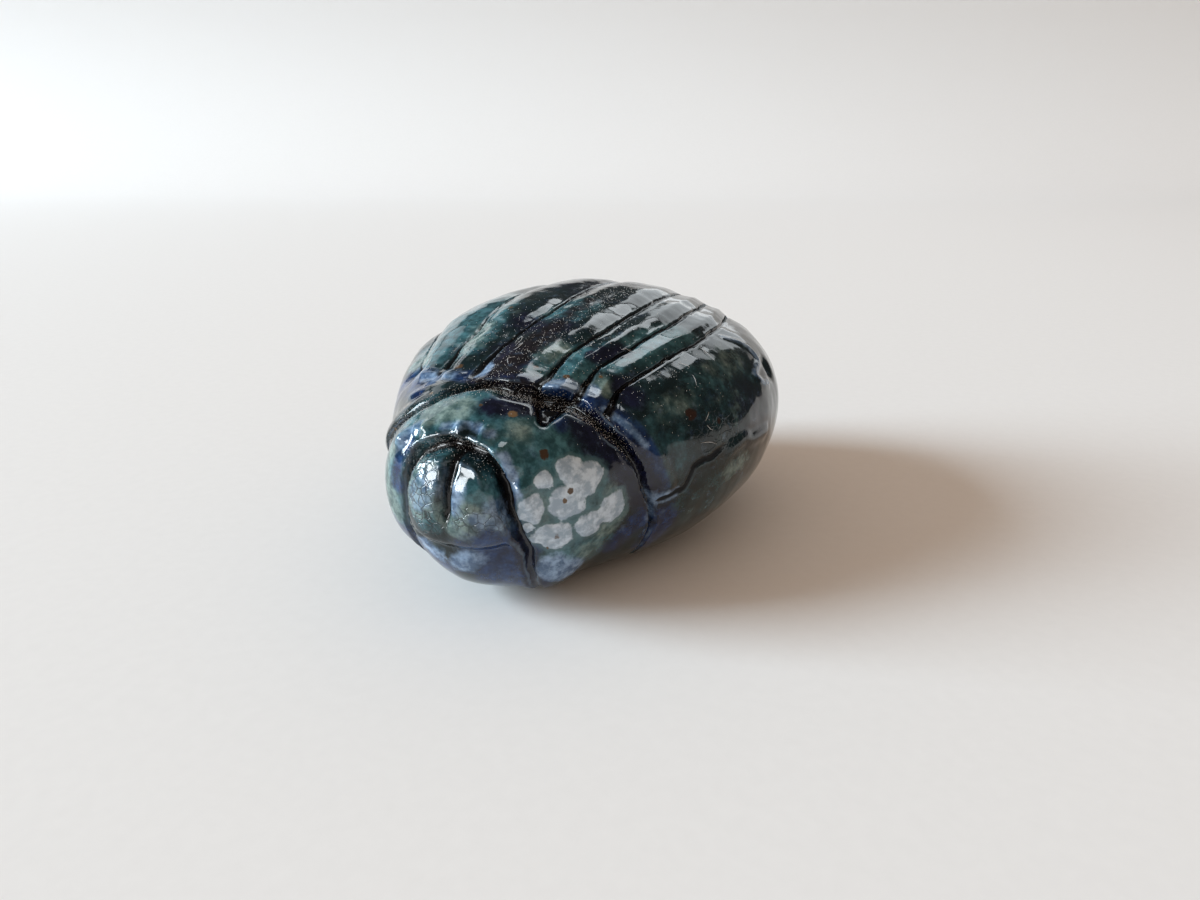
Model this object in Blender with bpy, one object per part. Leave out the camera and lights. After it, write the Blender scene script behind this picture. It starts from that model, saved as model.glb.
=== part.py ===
"""Scarab amulet: one closed body of fired and glazed clay, modelled by hand and cut with a blade.

Run with: blender --background --python part.py
Frame: metres, +Z up, head towards -Y, tail towards +Y, flat underside on z = 0, origin under the middle.
"""
import math

import bmesh
import bpy
import numpy as np

# Driving sizes of the whole amulet, in metres.
LENGTH = 0.0450
WIDTH = 0.0340
HEIGHT = 0.0210

# Body form. The shares are of the length, the width and the height.
WAIST_ALONG = -0.130       # where the widest cross line crosses the long axis, as a share of half the length
WAIST_UP = 0.48            # height of the widest line
BELLY_DROP = 0.55          # depth of the lower bulge below the widest line, cut short by the flat underside
FRONT_POWER = 2.00         # plan roundness of the head end, where 2 is an ellipse
REAR_POWER = 2.00          # plan roundness of the tail end, fuller at the flanks and softly pointed
SECTION_POWER = 2.16       # roundness of the cross section
TAPER = 0.35               # how much narrower than the middle the head end is
CROWN_RISE = 0.20          # how much higher the back rises behind the middle than before it
MIDDLE_WIDTH = 0.94        # width on the widest cross line, before the taper widens the body behind it
MIDDLE_HEIGHT = 0.94       # the same for the height of the back
FOOT_BLEND = 0.0006        # radius-like softening where the wall meets the underside

# Cut lines: width and depth of each kind of cut.
STRIPE_WIDTH = 0.0009
STRIPE_DEPTH = 0.00050
SUTURE_WIDTH = 0.0024
SUTURE_DEPTH = 0.00045
BORDER_WIDTH = 0.0026
BORDER_DEPTH = 0.00105
BORDER_SIDE_SHARE = 0.75   # width and depth that the border keeps down the flanks
HEAD_CUT_WIDTH = 0.0026
HEAD_CUT_DEPTH = 0.00150
HEAD_CUT_FADE = 0.28        # share of the cut's length over which it fades out at its ends
HEAD_CUT_SIDE_SHARE = 0.65  # width and depth that the head's cut keeps down the cheeks
MEDIAN_WIDTH = 0.0013
MEDIAN_DEPTH = 0.00070
CREASE_WIDTH = 0.0016
CREASE_DEPTH = 0.00030
CRACK_WIDTH = 0.0009
CRACK_DEPTH = 0.00038

BORDER_FADE_REACH = 0.42   # share of the border's length, from its middle, over which it thins
HEAD_CUT_MIDDLE = 0.45     # share of the head cut's length where it is widest
HEAD_CUT_SWELL_REACH = 0.25
HEAD_CUT_END_LOSS = 0.40   # depth lost at the ends of the head's cut

# Raised forms: reach to each side of their line, and height.
LIP_REACH = 0.0013
LIP_HEIGHT = 0.00035
COLLAR_REACH = 0.0034
COLLAR_HEIGHT = 0.00070
RIDGE_REACH = 0.0009
RIDGE_HEIGHT = 0.00030
LOBE_REACH = 0.0026
LOBE_HEIGHT = 0.00050
CHIN_REACH = 0.0050
CHIN_HEIGHT = 0.00070
TAIL_RIDGE_REACH = 0.0012
TAIL_RIDGE_HEIGHT = 0.00030

# The wing-case stripes at the border: places across the body as shares of half the width.
STRIPES_AT_BORDER = (-0.56, -0.328, -0.103, 0.227, 0.386, 0.517)
SUTURE_AT_BORDER = 0.060
STRIPE_DRIFT = 0.115       # sideways drift of the stripes towards the right by the crown of the back
STRIPE_SPREAD = 0.13       # how much the stripes have spread apart by the crown of the back
LEFT_SPLAY = 0.55          # how much more the left stripes spread
LEFT_SPLAY_FROM = -0.10
STRIPE_TAIL_SHARE = 0.45   # how far the stripes have drawn together at the tail
STRIPE_FRONT_ALONG = -0.665
STRIPE_FRONT_BOW = 0.50    # how much further back the outer stripes begin
STRIPE_TURNS_ALONG = (-0.45, -0.27, -0.06, 0.20, 0.60)
STRIPE_TAIL_ALONG = 0.88

# Places on the body as (across, along, up): shares of half the width, half the length and the height.
BORDER_LINE = (
    (-0.50, -0.64, 0.08), (-0.585, -0.70, 0.30), (-0.52, -0.76, 0.52), (-0.316, -0.803, 0.663),
    (-0.018, -0.700, 0.789), (0.217, -0.674, 0.779), (0.416, -0.616, 0.731), (0.600, -0.565, 0.580),
    (0.668, -0.514, 0.431), (0.668, -0.465, 0.290), (0.570, -0.400, 0.080),
)
NOTCH_MOUTH = ((0.235, -0.670, 0.775), (0.400, -0.622, 0.735))
NOTCH_POINT = (0.322, -0.738, 0.706)
HEAD_LINE = (
    (-0.160, -0.80, 0.06), (-0.185, -0.90, 0.25), (-0.185, -0.955, 0.400), (-0.130, -0.955, 0.580),
    (-0.030, -0.918, 0.652), (0.110, -0.902, 0.650), (0.205, -0.905, 0.600), (0.268, -0.915, 0.490),
    (0.290, -0.896, 0.380), (0.300, -0.820, 0.227), (0.240, -0.640, 0.03),
)
MEDIAN_LINE = ((0.085, -0.914, 0.655), (0.062, -0.967, 0.595), (0.055, -0.994, 0.518), (0.035, -0.994, 0.400))
CHIN_LINE = ((0.050, -0.930, 0.110), (0.170, -0.900, 0.090), (0.280, -0.820, 0.080))
CREASE_LINE = (
    (-0.150, -0.965, 0.345), (-0.040, -0.972, 0.310), (0.120, -0.955, 0.285), (0.295, -0.880, 0.300),
)
COLLAR_LINE = (
    (-0.330, -0.880, 0.30), (-0.310, -0.890, 0.50), (-0.180, -0.860, 0.66), (0.080, -0.810, 0.730),
    (0.330, -0.790, 0.640), (0.490, -0.740, 0.480), (0.470, -0.730, 0.280), (0.360, -0.740, 0.080),
)
CRACK_LINE = (
    (0.685, -0.483, 0.373), (0.726, -0.438, 0.382), (0.773, -0.380, 0.397), (0.800, -0.355, 0.440),
    (0.820, -0.327, 0.474), (0.861, -0.269, 0.489), (0.900, -0.200, 0.520),
)
CRACK_RIDGE_LINE = (
    (0.915, -0.170, 0.489), (0.945, -0.090, 0.500), (0.972, -0.029, 0.479), (0.996, 0.117, 0.470),
)
TAIL_PIT = (0.925, 0.330, 0.675)
TAIL_PIT_RADIUS = 0.0016
TAIL_PIT_DEPTH = 0.00045
TAIL_RIDGE_LINE = (
    (0.823, 0.227, 0.782), (0.883, 0.236, 0.726), (0.907, 0.120, 0.705), (0.940, 0.160, 0.660),
    (0.950, 0.225, 0.640),
)

# How carved forms sit beside their lines, as shares of half the width or of the height.
LIP_GAP = 0.60             # from the border's edge to the lip's crest, as a share of the lip's reach
EDGE_GAP = 0.62            # from the head cut's line to the collar's edge, as a share of the cut's width
EDGE_LIFT = 0.02
LEFT_LOBE_GAP = -0.105
RIGHT_LOBE_GAP = 0.125
LOBE_SINK = -0.02
NOTCH_DEPTH_SHARE = 0.9    # depth of the notch against the border's
NOTCH_MOUTH_SHARE = 1.05   # reach of the notch at its mouth, and how much of it is lost at its point
NOTCH_NARROWING = 0.75

# Mesh fineness.
CELLS_PER_SIDE = 120
TRIANGLES_WANTED = 9600
SAMPLES_PER_SPAN = 6
HEIGHT_SEARCH_STEPS = 20

GLAZE_COLOUR = (0.012, 0.060, 0.062, 1.0)
GLAZE_ROUGHNESS = 0.12


def place(across, along, up):
    """Point in metres of a place given in shares of the driving sizes."""
    return np.array((across * WIDTH / 2, along * LENGTH / 2, up * HEIGHT))


def star_centre():
    """Point inside the body from which every part of its surface can be seen."""
    return place(0.0, WAIST_ALONG, WAIST_UP)


def body_radius(direction):
    """Distance from the star centre to the plain body surface along each unit direction."""
    across, along, up = direction.T
    front_reach = LENGTH / 2 * (1 + WAIST_ALONG)
    rear_reach = LENGTH / 2 * (1 - WAIST_ALONG)
    reach = np.where(along < 0, front_reach, rear_reach)
    lean = along / reach / np.sqrt((across / (WIDTH / 2)) ** 2 + (along / reach) ** 2 + (up / HEIGHT) ** 2)
    half_width = WIDTH / 2 * MIDDLE_WIDTH * (1 + TAPER * lean)
    crown = HEIGHT * (1 - WAIST_UP) * MIDDLE_HEIGHT * (1 + CROWN_RISE * lean)
    rise = np.where(up > 0, crown, HEIGHT * BELLY_DROP)
    power = FRONT_POWER + (REAR_POWER - FRONT_POWER) * 0.5 * (1 + lean)
    plan = np.abs(across / half_width) ** power + np.abs(along / reach) ** power
    section = plan ** (SECTION_POWER / power) + np.abs(up / rise) ** SECTION_POWER
    return section ** (-1 / SECTION_POWER)


def onto_body(points):
    """Move points along their rays from the star centre onto the plain body surface."""
    rays = points - star_centre()
    rays = rays / np.linalg.norm(rays, axis=1, keepdims=True)
    return star_centre() + rays * body_radius(rays)[:, None]


def smooth_line(places):
    """Smooth curve through the places, on the body surface."""
    knots = np.array([place(*item) for item in places])
    padded = np.vstack((2 * knots[0] - knots[1], knots, 2 * knots[-1] - knots[-2]))
    steps = np.linspace(0, 1, SAMPLES_PER_SPAN, endpoint=False)[:, None]
    spans = []
    for before, start, end, after in zip(padded, padded[1:], padded[2:], padded[3:]):
        bend = 2 * before - 5 * start + 4 * end - after
        twist = 3 * start - before - 3 * end + after
        spans.append(0.5 * (2 * start + (end - before) * steps + bend * steps ** 2 + twist * steps ** 3))
    spans.append(knots[-1:])
    return onto_body(np.vstack(spans))


def distance_to_line(points, line):
    """Distance from each point to a polyline, and the share of the line's length at the nearest place."""
    best = np.full(len(points), np.inf)
    share = np.zeros(len(points))
    for index, (start, end) in enumerate(zip(line, line[1:])):
        run = end - start
        along = np.clip((points - start) @ run / (run @ run), 0, 1)
        gap = np.linalg.norm(points - start - along[:, None] * run, axis=1)
        nearer = gap < best
        best[nearer] = gap[nearer]
        share[nearer] = (index + along[nearer]) / (len(line) - 1)
    return best, share


def hump(distance, reach):
    """Soft bump of height 1 on a line, falling to 0 at the reach."""
    return np.clip(1 - (distance / reach) ** 2, 0, 1) ** 2


def cut(points, line, width, depth):
    """Height change of a rounded cut along a line."""
    distance, _ = distance_to_line(points, line)
    return -depth * hump(distance, width / 2)


def ridge(points, line, reach, height):
    """Height change of a rounded ridge along a line."""
    distance, _ = distance_to_line(points, line)
    return height * hump(distance, reach)


def height_of_back(across, along):
    """Height of the plain back over a place of the plan, as a share of the height."""
    low, high = WAIST_UP, 2.0
    for _ in range(HEIGHT_SEARCH_STEPS):
        middle = (low + high) / 2
        offset = place(across, along, middle) - star_centre()
        reach = np.linalg.norm(offset)
        inside = reach < body_radius(offset[None] / reach)[0]
        low, high = (middle, high) if inside else (low, middle)
    return low


def stripe_line(across):
    """One cut of the wing cases, from the border over the crown to the tail."""
    drift = STRIPE_DRIFT + STRIPE_SPREAD * across + LEFT_SPLAY * min(0.0, across - LEFT_SPLAY_FROM)
    tail = (across + drift) * STRIPE_TAIL_SHARE + STRIPE_DRIFT
    front_along = STRIPE_FRONT_ALONG + STRIPE_FRONT_BOW * (across - SUTURE_AT_BORDER) ** 2
    plan = (
        (across, front_along),
        (across + 0.08 * drift, STRIPE_TURNS_ALONG[0]),
        (across + 0.50 * drift, STRIPE_TURNS_ALONG[1]),
        (across + 0.90 * drift, STRIPE_TURNS_ALONG[2]),
        (across + drift, STRIPE_TURNS_ALONG[3]),
        (0.6 * (across + drift) + 0.4 * tail, STRIPE_TURNS_ALONG[4]),
        (tail, STRIPE_TAIL_ALONG),
    )
    return smooth_line([(*spot, height_of_back(*spot)) for spot in plan])


def wing_case_relief(points):
    """Stripes, centre seam and raised front lip of the wing cases."""
    relief = cut(points, stripe_line(SUTURE_AT_BORDER), SUTURE_WIDTH, SUTURE_DEPTH)
    for across in STRIPES_AT_BORDER:
        relief = np.minimum(relief, cut(points, stripe_line(across), STRIPE_WIDTH, STRIPE_DEPTH))
    lip_shift = np.array((0.0, BORDER_WIDTH / 2 + LIP_REACH * LIP_GAP, 0.0))
    lip_line = onto_body(smooth_line(BORDER_LINE[2:8]) + lip_shift)
    return relief + ridge(points, lip_line, LIP_REACH, LIP_HEIGHT)


def collar_relief(points):
    """Rounded collar round the head, its sharp inner edge and the notch in its rear edge."""
    relief = ridge(points, smooth_line(COLLAR_LINE), COLLAR_REACH, COLLAR_HEIGHT)
    edge_shift = np.array((HEAD_CUT_WIDTH * EDGE_GAP, 0.0, HEIGHT * EDGE_LIFT))
    edge_line = onto_body(smooth_line(HEAD_LINE[4:8]) + edge_shift)
    return relief + ridge(points, edge_line, RIDGE_REACH, RIDGE_HEIGHT)


def notch_relief(points):
    """Triangular cut from the border into the collar."""
    left, right, point = onto_body(np.array([place(*item) for item in (*NOTCH_MOUTH, NOTCH_POINT)]))
    distance, share = distance_to_line(points, np.array(((left + right) / 2, point)))
    reach = np.linalg.norm(right - left) / 2 * (NOTCH_MOUTH_SHARE - NOTCH_NARROWING * share)
    return -BORDER_DEPTH * NOTCH_DEPTH_SHARE * hump(distance, reach)


def head_relief(points):
    """Two lobes of the head, the groove between them, the full chin and the crease above it."""
    median = smooth_line(MEDIAN_LINE)
    relief = np.zeros(len(points))
    for gap in (LEFT_LOBE_GAP, RIGHT_LOBE_GAP):
        lobe_line = onto_body(median + place(gap, 0.0, LOBE_SINK))
        relief = np.maximum(relief, ridge(points, lobe_line, LOBE_REACH, LOBE_HEIGHT))
    relief += cut(points, median, MEDIAN_WIDTH, MEDIAN_DEPTH)
    relief += ridge(points, smooth_line(CHIN_LINE), CHIN_REACH, CHIN_HEIGHT)
    return relief + cut(points, smooth_line(CREASE_LINE), CREASE_WIDTH, CREASE_DEPTH)


def trench_relief(points):
    """Border between wing cases and collar, and the horseshoe cut round the head."""
    border_distance, border_share = distance_to_line(points, smooth_line(BORDER_LINE))
    fade = BORDER_SIDE_SHARE + (1 - BORDER_SIDE_SHARE) * hump(border_share - 0.5, BORDER_FADE_REACH)
    border = -BORDER_DEPTH * fade * hump(border_distance, BORDER_WIDTH / 2 * fade)
    head_distance, head_share = distance_to_line(points, smooth_line(HEAD_LINE))
    swell = hump(head_share - HEAD_CUT_MIDDLE, HEAD_CUT_SWELL_REACH)
    swell = HEAD_CUT_SIDE_SHARE + (1 - HEAD_CUT_SIDE_SHARE) * swell
    ends = hump(np.minimum(head_share, 1 - head_share), HEAD_CUT_FADE)
    depth = HEAD_CUT_DEPTH * (swell - HEAD_CUT_END_LOSS * ends)
    head = -depth * hump(head_distance, HEAD_CUT_WIDTH / 2 * swell)
    return np.minimum(border, head)


def flank_relief(points):
    """Jagged crack with its raised glaze, and the hollow near the tail."""
    relief = cut(points, smooth_line(CRACK_LINE), CRACK_WIDTH, CRACK_DEPTH)
    relief += ridge(points, smooth_line(CRACK_RIDGE_LINE), RIDGE_REACH, RIDGE_HEIGHT)
    relief += ridge(points, smooth_line(TAIL_RIDGE_LINE), TAIL_RIDGE_REACH, TAIL_RIDGE_HEIGHT)
    pit = onto_body(place(*TAIL_PIT)[None])[0]
    return relief - TAIL_PIT_DEPTH * hump(np.linalg.norm(points - pit, axis=1), TAIL_PIT_RADIUS)


def carve(points):
    """Carved surface for points of the plain body, before the underside is cut flat."""
    outward = points - star_centre()
    outward = outward / np.linalg.norm(outward, axis=1, keepdims=True)
    relief = wing_case_relief(points) + collar_relief(points) + notch_relief(points)
    relief += head_relief(points) + trench_relief(points) + flank_relief(points)
    return points + outward * relief[:, None]


def flatten_underside(points):
    """Cut everything below z = 0 flat, with a short soft bend into the wall."""
    level = points[:, 2]
    bend = (level + FOOT_BLEND) ** 2 / (4 * FOOT_BLEND)
    points[:, 2] = np.where(level < -FOOT_BLEND, 0, np.where(level > FOOT_BLEND, level, bend))
    return points


def fit_to_sizes(points):
    """Stretch the carved body to the driving sizes and stand it over the origin."""
    low, high = points.min(axis=0), points.max(axis=0)
    middle = np.array(((low[0] + high[0]) / 2, (low[1] + high[1]) / 2, 0.0))
    return (points - middle) * np.array((WIDTH, LENGTH, HEIGHT)) / (high - low)


def carved_mesh():
    """Cube with a grid on each side, blown up to the body and carved."""
    shape = bmesh.new()
    bmesh.ops.create_cube(shape, size=2.0)
    bmesh.ops.subdivide_edges(shape, edges=shape.edges[:], cuts=CELLS_PER_SIDE - 1, use_grid_fill=True)
    mesh = bpy.data.meshes.new("scarab")
    shape.to_mesh(mesh)
    shape.free()
    grid = np.empty(len(mesh.vertices) * 3)
    mesh.vertices.foreach_get("co", grid)
    grid = np.tan(grid.reshape(-1, 3) * math.pi / 4)
    rays = grid / np.linalg.norm(grid, axis=1, keepdims=True)
    points = star_centre() + rays * body_radius(rays)[:, None]
    points = fit_to_sizes(flatten_underside(carve(points)))
    mesh.vertices.foreach_set("co", points.ravel())
    mesh.shade_smooth()
    return mesh


def glaze_material():
    """Dark green-blue gloss glaze."""
    material = bpy.data.materials.new("glaze")
    material.use_nodes = True
    shader = material.node_tree.nodes["Principled BSDF"]
    shader.inputs["Base Color"].default_value = GLAZE_COLOUR
    shader.inputs["Roughness"].default_value = GLAZE_ROUGHNESS
    shader.inputs["Metallic"].default_value = 0.0
    return material


def build_scarab():
    """The amulet as one object, with fewer triangles where the surface is plain."""
    mesh = carved_mesh()
    mesh.materials.append(glaze_material())
    scarab = bpy.data.objects.new("scarab", mesh)
    bpy.context.scene.collection.objects.link(scarab)
    thin_out = scarab.modifiers.new("thin out", "DECIMATE")
    thin_out.ratio = TRIANGLES_WANTED / (2 * len(mesh.polygons))
    return scarab


for old_object in list(bpy.data.objects):
    bpy.data.objects.remove(old_object)
build_scarab()
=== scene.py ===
import logging
import math
from collections.abc import Iterable, Sequence
from dataclasses import dataclass, field
from enum import Enum

import bpy
import numpy as np
from mathutils import Matrix, Vector


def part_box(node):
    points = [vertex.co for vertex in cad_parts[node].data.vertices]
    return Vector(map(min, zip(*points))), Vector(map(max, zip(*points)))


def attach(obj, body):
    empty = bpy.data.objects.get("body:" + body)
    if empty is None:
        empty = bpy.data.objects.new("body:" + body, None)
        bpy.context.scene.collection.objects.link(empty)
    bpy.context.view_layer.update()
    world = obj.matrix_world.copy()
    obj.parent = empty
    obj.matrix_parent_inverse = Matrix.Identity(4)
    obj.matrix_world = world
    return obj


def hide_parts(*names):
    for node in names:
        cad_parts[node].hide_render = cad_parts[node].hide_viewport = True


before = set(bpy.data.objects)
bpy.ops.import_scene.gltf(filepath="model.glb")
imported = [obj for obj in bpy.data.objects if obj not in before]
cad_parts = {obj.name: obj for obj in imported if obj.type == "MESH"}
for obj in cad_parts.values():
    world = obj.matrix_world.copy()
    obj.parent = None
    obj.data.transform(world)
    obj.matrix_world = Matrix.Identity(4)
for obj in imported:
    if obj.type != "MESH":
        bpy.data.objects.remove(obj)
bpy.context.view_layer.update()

NODE = "scarab"
BODY = "root"

log = logging.getLogger("scarab")

Place = tuple[float, float, float]
Colour = tuple[float, float, float, float]
Band = tuple[float, float]
Socket = bpy.types.NodeSocket

MM = 0.001


class Cut(Enum):
    """Kinds of line that were cut or torn into the clay before it was glazed."""

    STRIPE = "stripe"
    SUTURE = "suture"
    BORDER = "border"
    HEAD = "head cut"
    MEDIAN = "median"
    CREASE = "crease"
    CRACK = "crack"


class Pool(Enum):
    """Kinds of glaze pool, each a colour that shows in its own places. The milk pools are also painted
    highlights on lips and rims.
    """

    TEAL = "teal"
    SAGE = "sage"
    COBALT = "cobalt"
    NAVY = "navy"
    SOOT = "soot"
    MILK = "milk"


def hump(distance: np.ndarray, reach: float | np.ndarray) -> np.ndarray:
    """Soft bump of height 1 on a line, falling to 0 at the reach."""
    return np.clip(1 - (distance / reach) ** 2, 0, 1) ** 2


def smooth_step(value: np.ndarray, start: float, end: float) -> np.ndarray:
    """Smooth rise from 0 at the start to 1 at the end."""
    share = np.clip((value - start) / (end - start), 0, 1)
    return share * share * (3 - 2 * share)


def placed(name: str, data: bpy.types.ID) -> bpy.types.Object:
    """New object in the scene, at the origin."""
    item = bpy.data.objects.new(name, data)
    bpy.context.scene.collection.objects.link(item)
    return item


def chain(start: int, count: int) -> list[tuple[int, int]]:
    """Edges that join a run of vertices one after another."""
    return [(number, number + 1) for number in range(start, start + count - 1)]


@dataclass(frozen=True)
class BodyForm:
    """The plain egg-like body, described from a point inside it. Shares are of the part's own sizes."""

    width: float
    length: float
    height: float
    waist_along: float = -0.130
    waist_up: float = 0.48
    belly_drop: float = 0.55
    plan_power: float = 2.00
    section_power: float = 2.16
    taper: float = 0.35
    crown_rise: float = 0.20
    middle_width: float = 0.94
    middle_height: float = 0.94

    @classmethod
    def from_frame(cls) -> "BodyForm":
        """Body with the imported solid's own sizes."""
        low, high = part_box(NODE)
        width, length, height = (b - a for a, b in zip(low, high))
        return cls(width, length, height)

    def place(self, across: float, along: float, up: float) -> np.ndarray:
        """Point in metres of a place given in shares of the half width, half length and height."""
        return np.array((across * self.width / 2, along * self.length / 2, up * self.height))

    @property
    def centre(self) -> np.ndarray:
        """Point inside the body from which all its surface can be seen."""
        return self.place(0.0, self.waist_along, self.waist_up)

    def radius(self, rays: np.ndarray) -> np.ndarray:
        """Distance from the centre to the plain surface.

        Args:
            rays: Unit directions, one a row.

        Returns:
            One distance in metres for each ray.
        """
        across, along, up = rays.T
        front, rear = self.length / 2 * (1 + self.waist_along), self.length / 2 * (1 - self.waist_along)
        reach = np.where(along < 0, front, rear)
        spread = np.sqrt((across / (self.width / 2)) ** 2 + (along / reach) ** 2 + (up / self.height) ** 2)
        lean = along / reach / spread
        half_width = self.width / 2 * self.middle_width * (1 + self.taper * lean)
        crown = self.height * (1 - self.waist_up) * self.middle_height * (1 + self.crown_rise * lean)
        rise = np.where(up > 0, crown, self.height * self.belly_drop)
        plan = np.abs(across / half_width) ** self.plan_power + np.abs(along / reach) ** self.plan_power
        section = plan ** (self.section_power / self.plan_power) + np.abs(up / rise) ** self.section_power
        return section ** (-1 / self.section_power)

    def onto(self, points: np.ndarray) -> np.ndarray:
        """Move points along their rays from the centre onto the plain surface."""
        rays = points - self.centre
        rays = rays / np.linalg.norm(rays, axis=1, keepdims=True)
        return self.centre + rays * self.radius(rays)[:, None]

    def spot(self, place: Place) -> np.ndarray:
        """One place, brought onto the plain surface."""
        return self.onto(self.place(*place)[None])[0]

    def back_height(self, across: float, along: float) -> float:
        """Height of the plain back over a place of the plan, as a share of the height."""
        low, high = self.waist_up, 2.0
        for _ in range(20):
            middle = (low + high) / 2
            offset = self.place(across, along, middle) - self.centre
            reach = np.linalg.norm(offset)
            inside = reach < self.radius(offset[None] / reach)[0]
            low, high = (middle, high) if inside else (low, middle)
        return low

    def line(self, places: Sequence[Place], samples: int = 14) -> np.ndarray:
        """Smooth curve through places, on the plain surface.

        Args:
            places: Places in shares of the part's sizes.
            samples: Points on each span between two places.

        Returns:
            The curve's points in metres, one a row.
        """
        knots = np.array([self.place(*item) for item in places])
        padded = np.vstack((2 * knots[0] - knots[1], knots, 2 * knots[-1] - knots[-2]))
        steps = np.linspace(0, 1, samples, endpoint=False)[:, None]
        spans = []
        for before, start, end, after in zip(padded, padded[1:], padded[2:], padded[3:]):
            bend = 2 * before - 5 * start + 4 * end - after
            twist = 3 * start - before - 3 * end + after
            spans.append(0.5 * (2 * start + (end - before) * steps + bend * steps**2 + twist * steps**3))
        spans.append(knots[-1:])
        return self.onto(np.vstack(spans))


def distance_to(points: np.ndarray, line: np.ndarray) -> tuple[np.ndarray, np.ndarray]:
    """Distance to a polyline.

    Args:
        points: Points in metres, one a row.
        line: The polyline's points.

    Returns:
        The distance of each point, and the share of the line's length at its nearest place.
    """
    best = np.full(len(points), np.inf)
    share = np.zeros(len(points))
    for index, (start, end) in enumerate(zip(line, line[1:])):
        run = end - start
        along = np.clip((points - start) @ run / (run @ run), 0, 1)
        gap = np.linalg.norm(points - start - along[:, None] * run, axis=1)
        nearer = gap < best
        best[nearer] = gap[nearer]
        share[nearer] = (index + along[nearer]) / (len(line) - 1)
    return best, share


@dataclass
class ClayLines:
    """Where the lines of the carving run on the body, as places in shares of its sizes."""

    form: BodyForm
    stripes_at_border: tuple[float, ...] = (-0.56, -0.328, -0.103, 0.227, 0.386, 0.517)
    suture_at_border: float = 0.060
    stripe_drift: float = 0.115
    stripe_spread: float = 0.13
    left_splay: float = 0.55
    left_splay_from: float = -0.10
    stripe_tail_share: float = 0.45
    stripe_front_along: float = -0.665
    stripe_front_bow: float = 0.50
    stripe_turns_along: tuple[float, ...] = (-0.45, -0.27, -0.06, 0.20, 0.60)
    stripe_tail_along: float = 0.88
    border: tuple[Place, ...] = (
        (-0.50, -0.64, 0.08), (-0.585, -0.70, 0.30), (-0.52, -0.76, 0.52), (-0.316, -0.803, 0.663),
        (-0.018, -0.700, 0.789), (0.217, -0.674, 0.779), (0.416, -0.616, 0.731), (0.600, -0.565, 0.580),
        (0.668, -0.514, 0.431), (0.668, -0.465, 0.290), (0.570, -0.400, 0.080),
    )
    notch_mouth: tuple[Place, Place] = ((0.225, -0.672, 0.775), (0.380, -0.628, 0.740))
    notch_point: Place = (0.315, -0.724, 0.712)
    head: tuple[Place, ...] = (
        (-0.160, -0.80, 0.06), (-0.185, -0.90, 0.25), (-0.185, -0.955, 0.400), (-0.130, -0.955, 0.580),
        (-0.030, -0.918, 0.652), (0.110, -0.902, 0.650), (0.205, -0.905, 0.600), (0.268, -0.915, 0.490),
        (0.290, -0.896, 0.380), (0.300, -0.820, 0.227), (0.240, -0.640, 0.03),
    )
    median: tuple[Place, ...] = (
        (0.085, -0.914, 0.655), (0.062, -0.967, 0.595), (0.055, -0.994, 0.518), (0.035, -0.994, 0.400),
    )
    chin: tuple[Place, ...] = ((0.050, -0.930, 0.110), (0.170, -0.900, 0.090), (0.280, -0.820, 0.080))
    crease: tuple[Place, ...] = (
        (-0.150, -0.965, 0.345), (-0.040, -0.972, 0.310), (0.120, -0.955, 0.285), (0.295, -0.880, 0.300),
    )
    collar: tuple[Place, ...] = (
        (-0.330, -0.880, 0.30), (-0.310, -0.890, 0.50), (-0.180, -0.860, 0.66), (0.080, -0.810, 0.730),
        (0.330, -0.790, 0.640), (0.490, -0.740, 0.480), (0.470, -0.730, 0.280), (0.360, -0.740, 0.080),
    )
    crack: tuple[Place, ...] = (
        (0.685, -0.483, 0.373), (0.726, -0.438, 0.382), (0.773, -0.380, 0.397), (0.800, -0.355, 0.440),
        (0.820, -0.327, 0.474), (0.861, -0.269, 0.489), (0.900, -0.200, 0.520),
    )
    crack_ridge: tuple[Place, ...] = (
        (0.915, -0.170, 0.489), (0.945, -0.090, 0.500), (0.972, -0.029, 0.479), (0.996, 0.117, 0.470),
    )
    tail_pit: Place = (0.925, 0.330, 0.675)
    tail_ridge: tuple[Place, ...] = (
        (0.743, 0.153, 0.835), (0.823, 0.227, 0.782), (0.883, 0.236, 0.726), (0.907, 0.120, 0.705),
        (0.940, 0.160, 0.660), (0.950, 0.225, 0.640),
    )

    lip_beads: tuple[tuple[Place, ...], ...] = (
        ((-0.425, -0.553, 0.761), (-0.300, -0.590, 0.785), (-0.177, -0.629, 0.801)),
        ((-0.375, -0.677, 0.715), (-0.280, -0.690, 0.755), (-0.179, -0.694, 0.787)),
        ((0.240, -0.612, 0.800), (0.330, -0.590, 0.785), (0.430, -0.565, 0.755)),
    )

    def stripe(self, across: float) -> np.ndarray:
        """One cut of the wing cases, from the border over the crown to the tail."""
        drift = self.stripe_drift + self.stripe_spread * across
        drift += self.left_splay * min(0.0, across - self.left_splay_from)
        tail = (across + drift) * self.stripe_tail_share + self.stripe_drift
        front = self.stripe_front_along + self.stripe_front_bow * (across - self.suture_at_border) ** 2
        turns = self.stripe_turns_along
        plan = (
            (across, front),
            (across + 0.08 * drift, turns[0]),
            (across + 0.50 * drift, turns[1]),
            (across + 0.90 * drift, turns[2]),
            (across + drift, turns[3]),
            (0.6 * (across + drift) + 0.4 * tail, turns[4]),
            (tail, self.stripe_tail_along),
        )
        return self.form.line([(*spot, self.form.back_height(*spot)) for spot in plan])


@dataclass(frozen=True)
class Blister:
    """One pale blister of the glaze: its place, mean radius in metres, and how it is drawn out."""

    place: Place
    radius: float
    stretch: float = 1.0
    turn: float = 0.0


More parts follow.
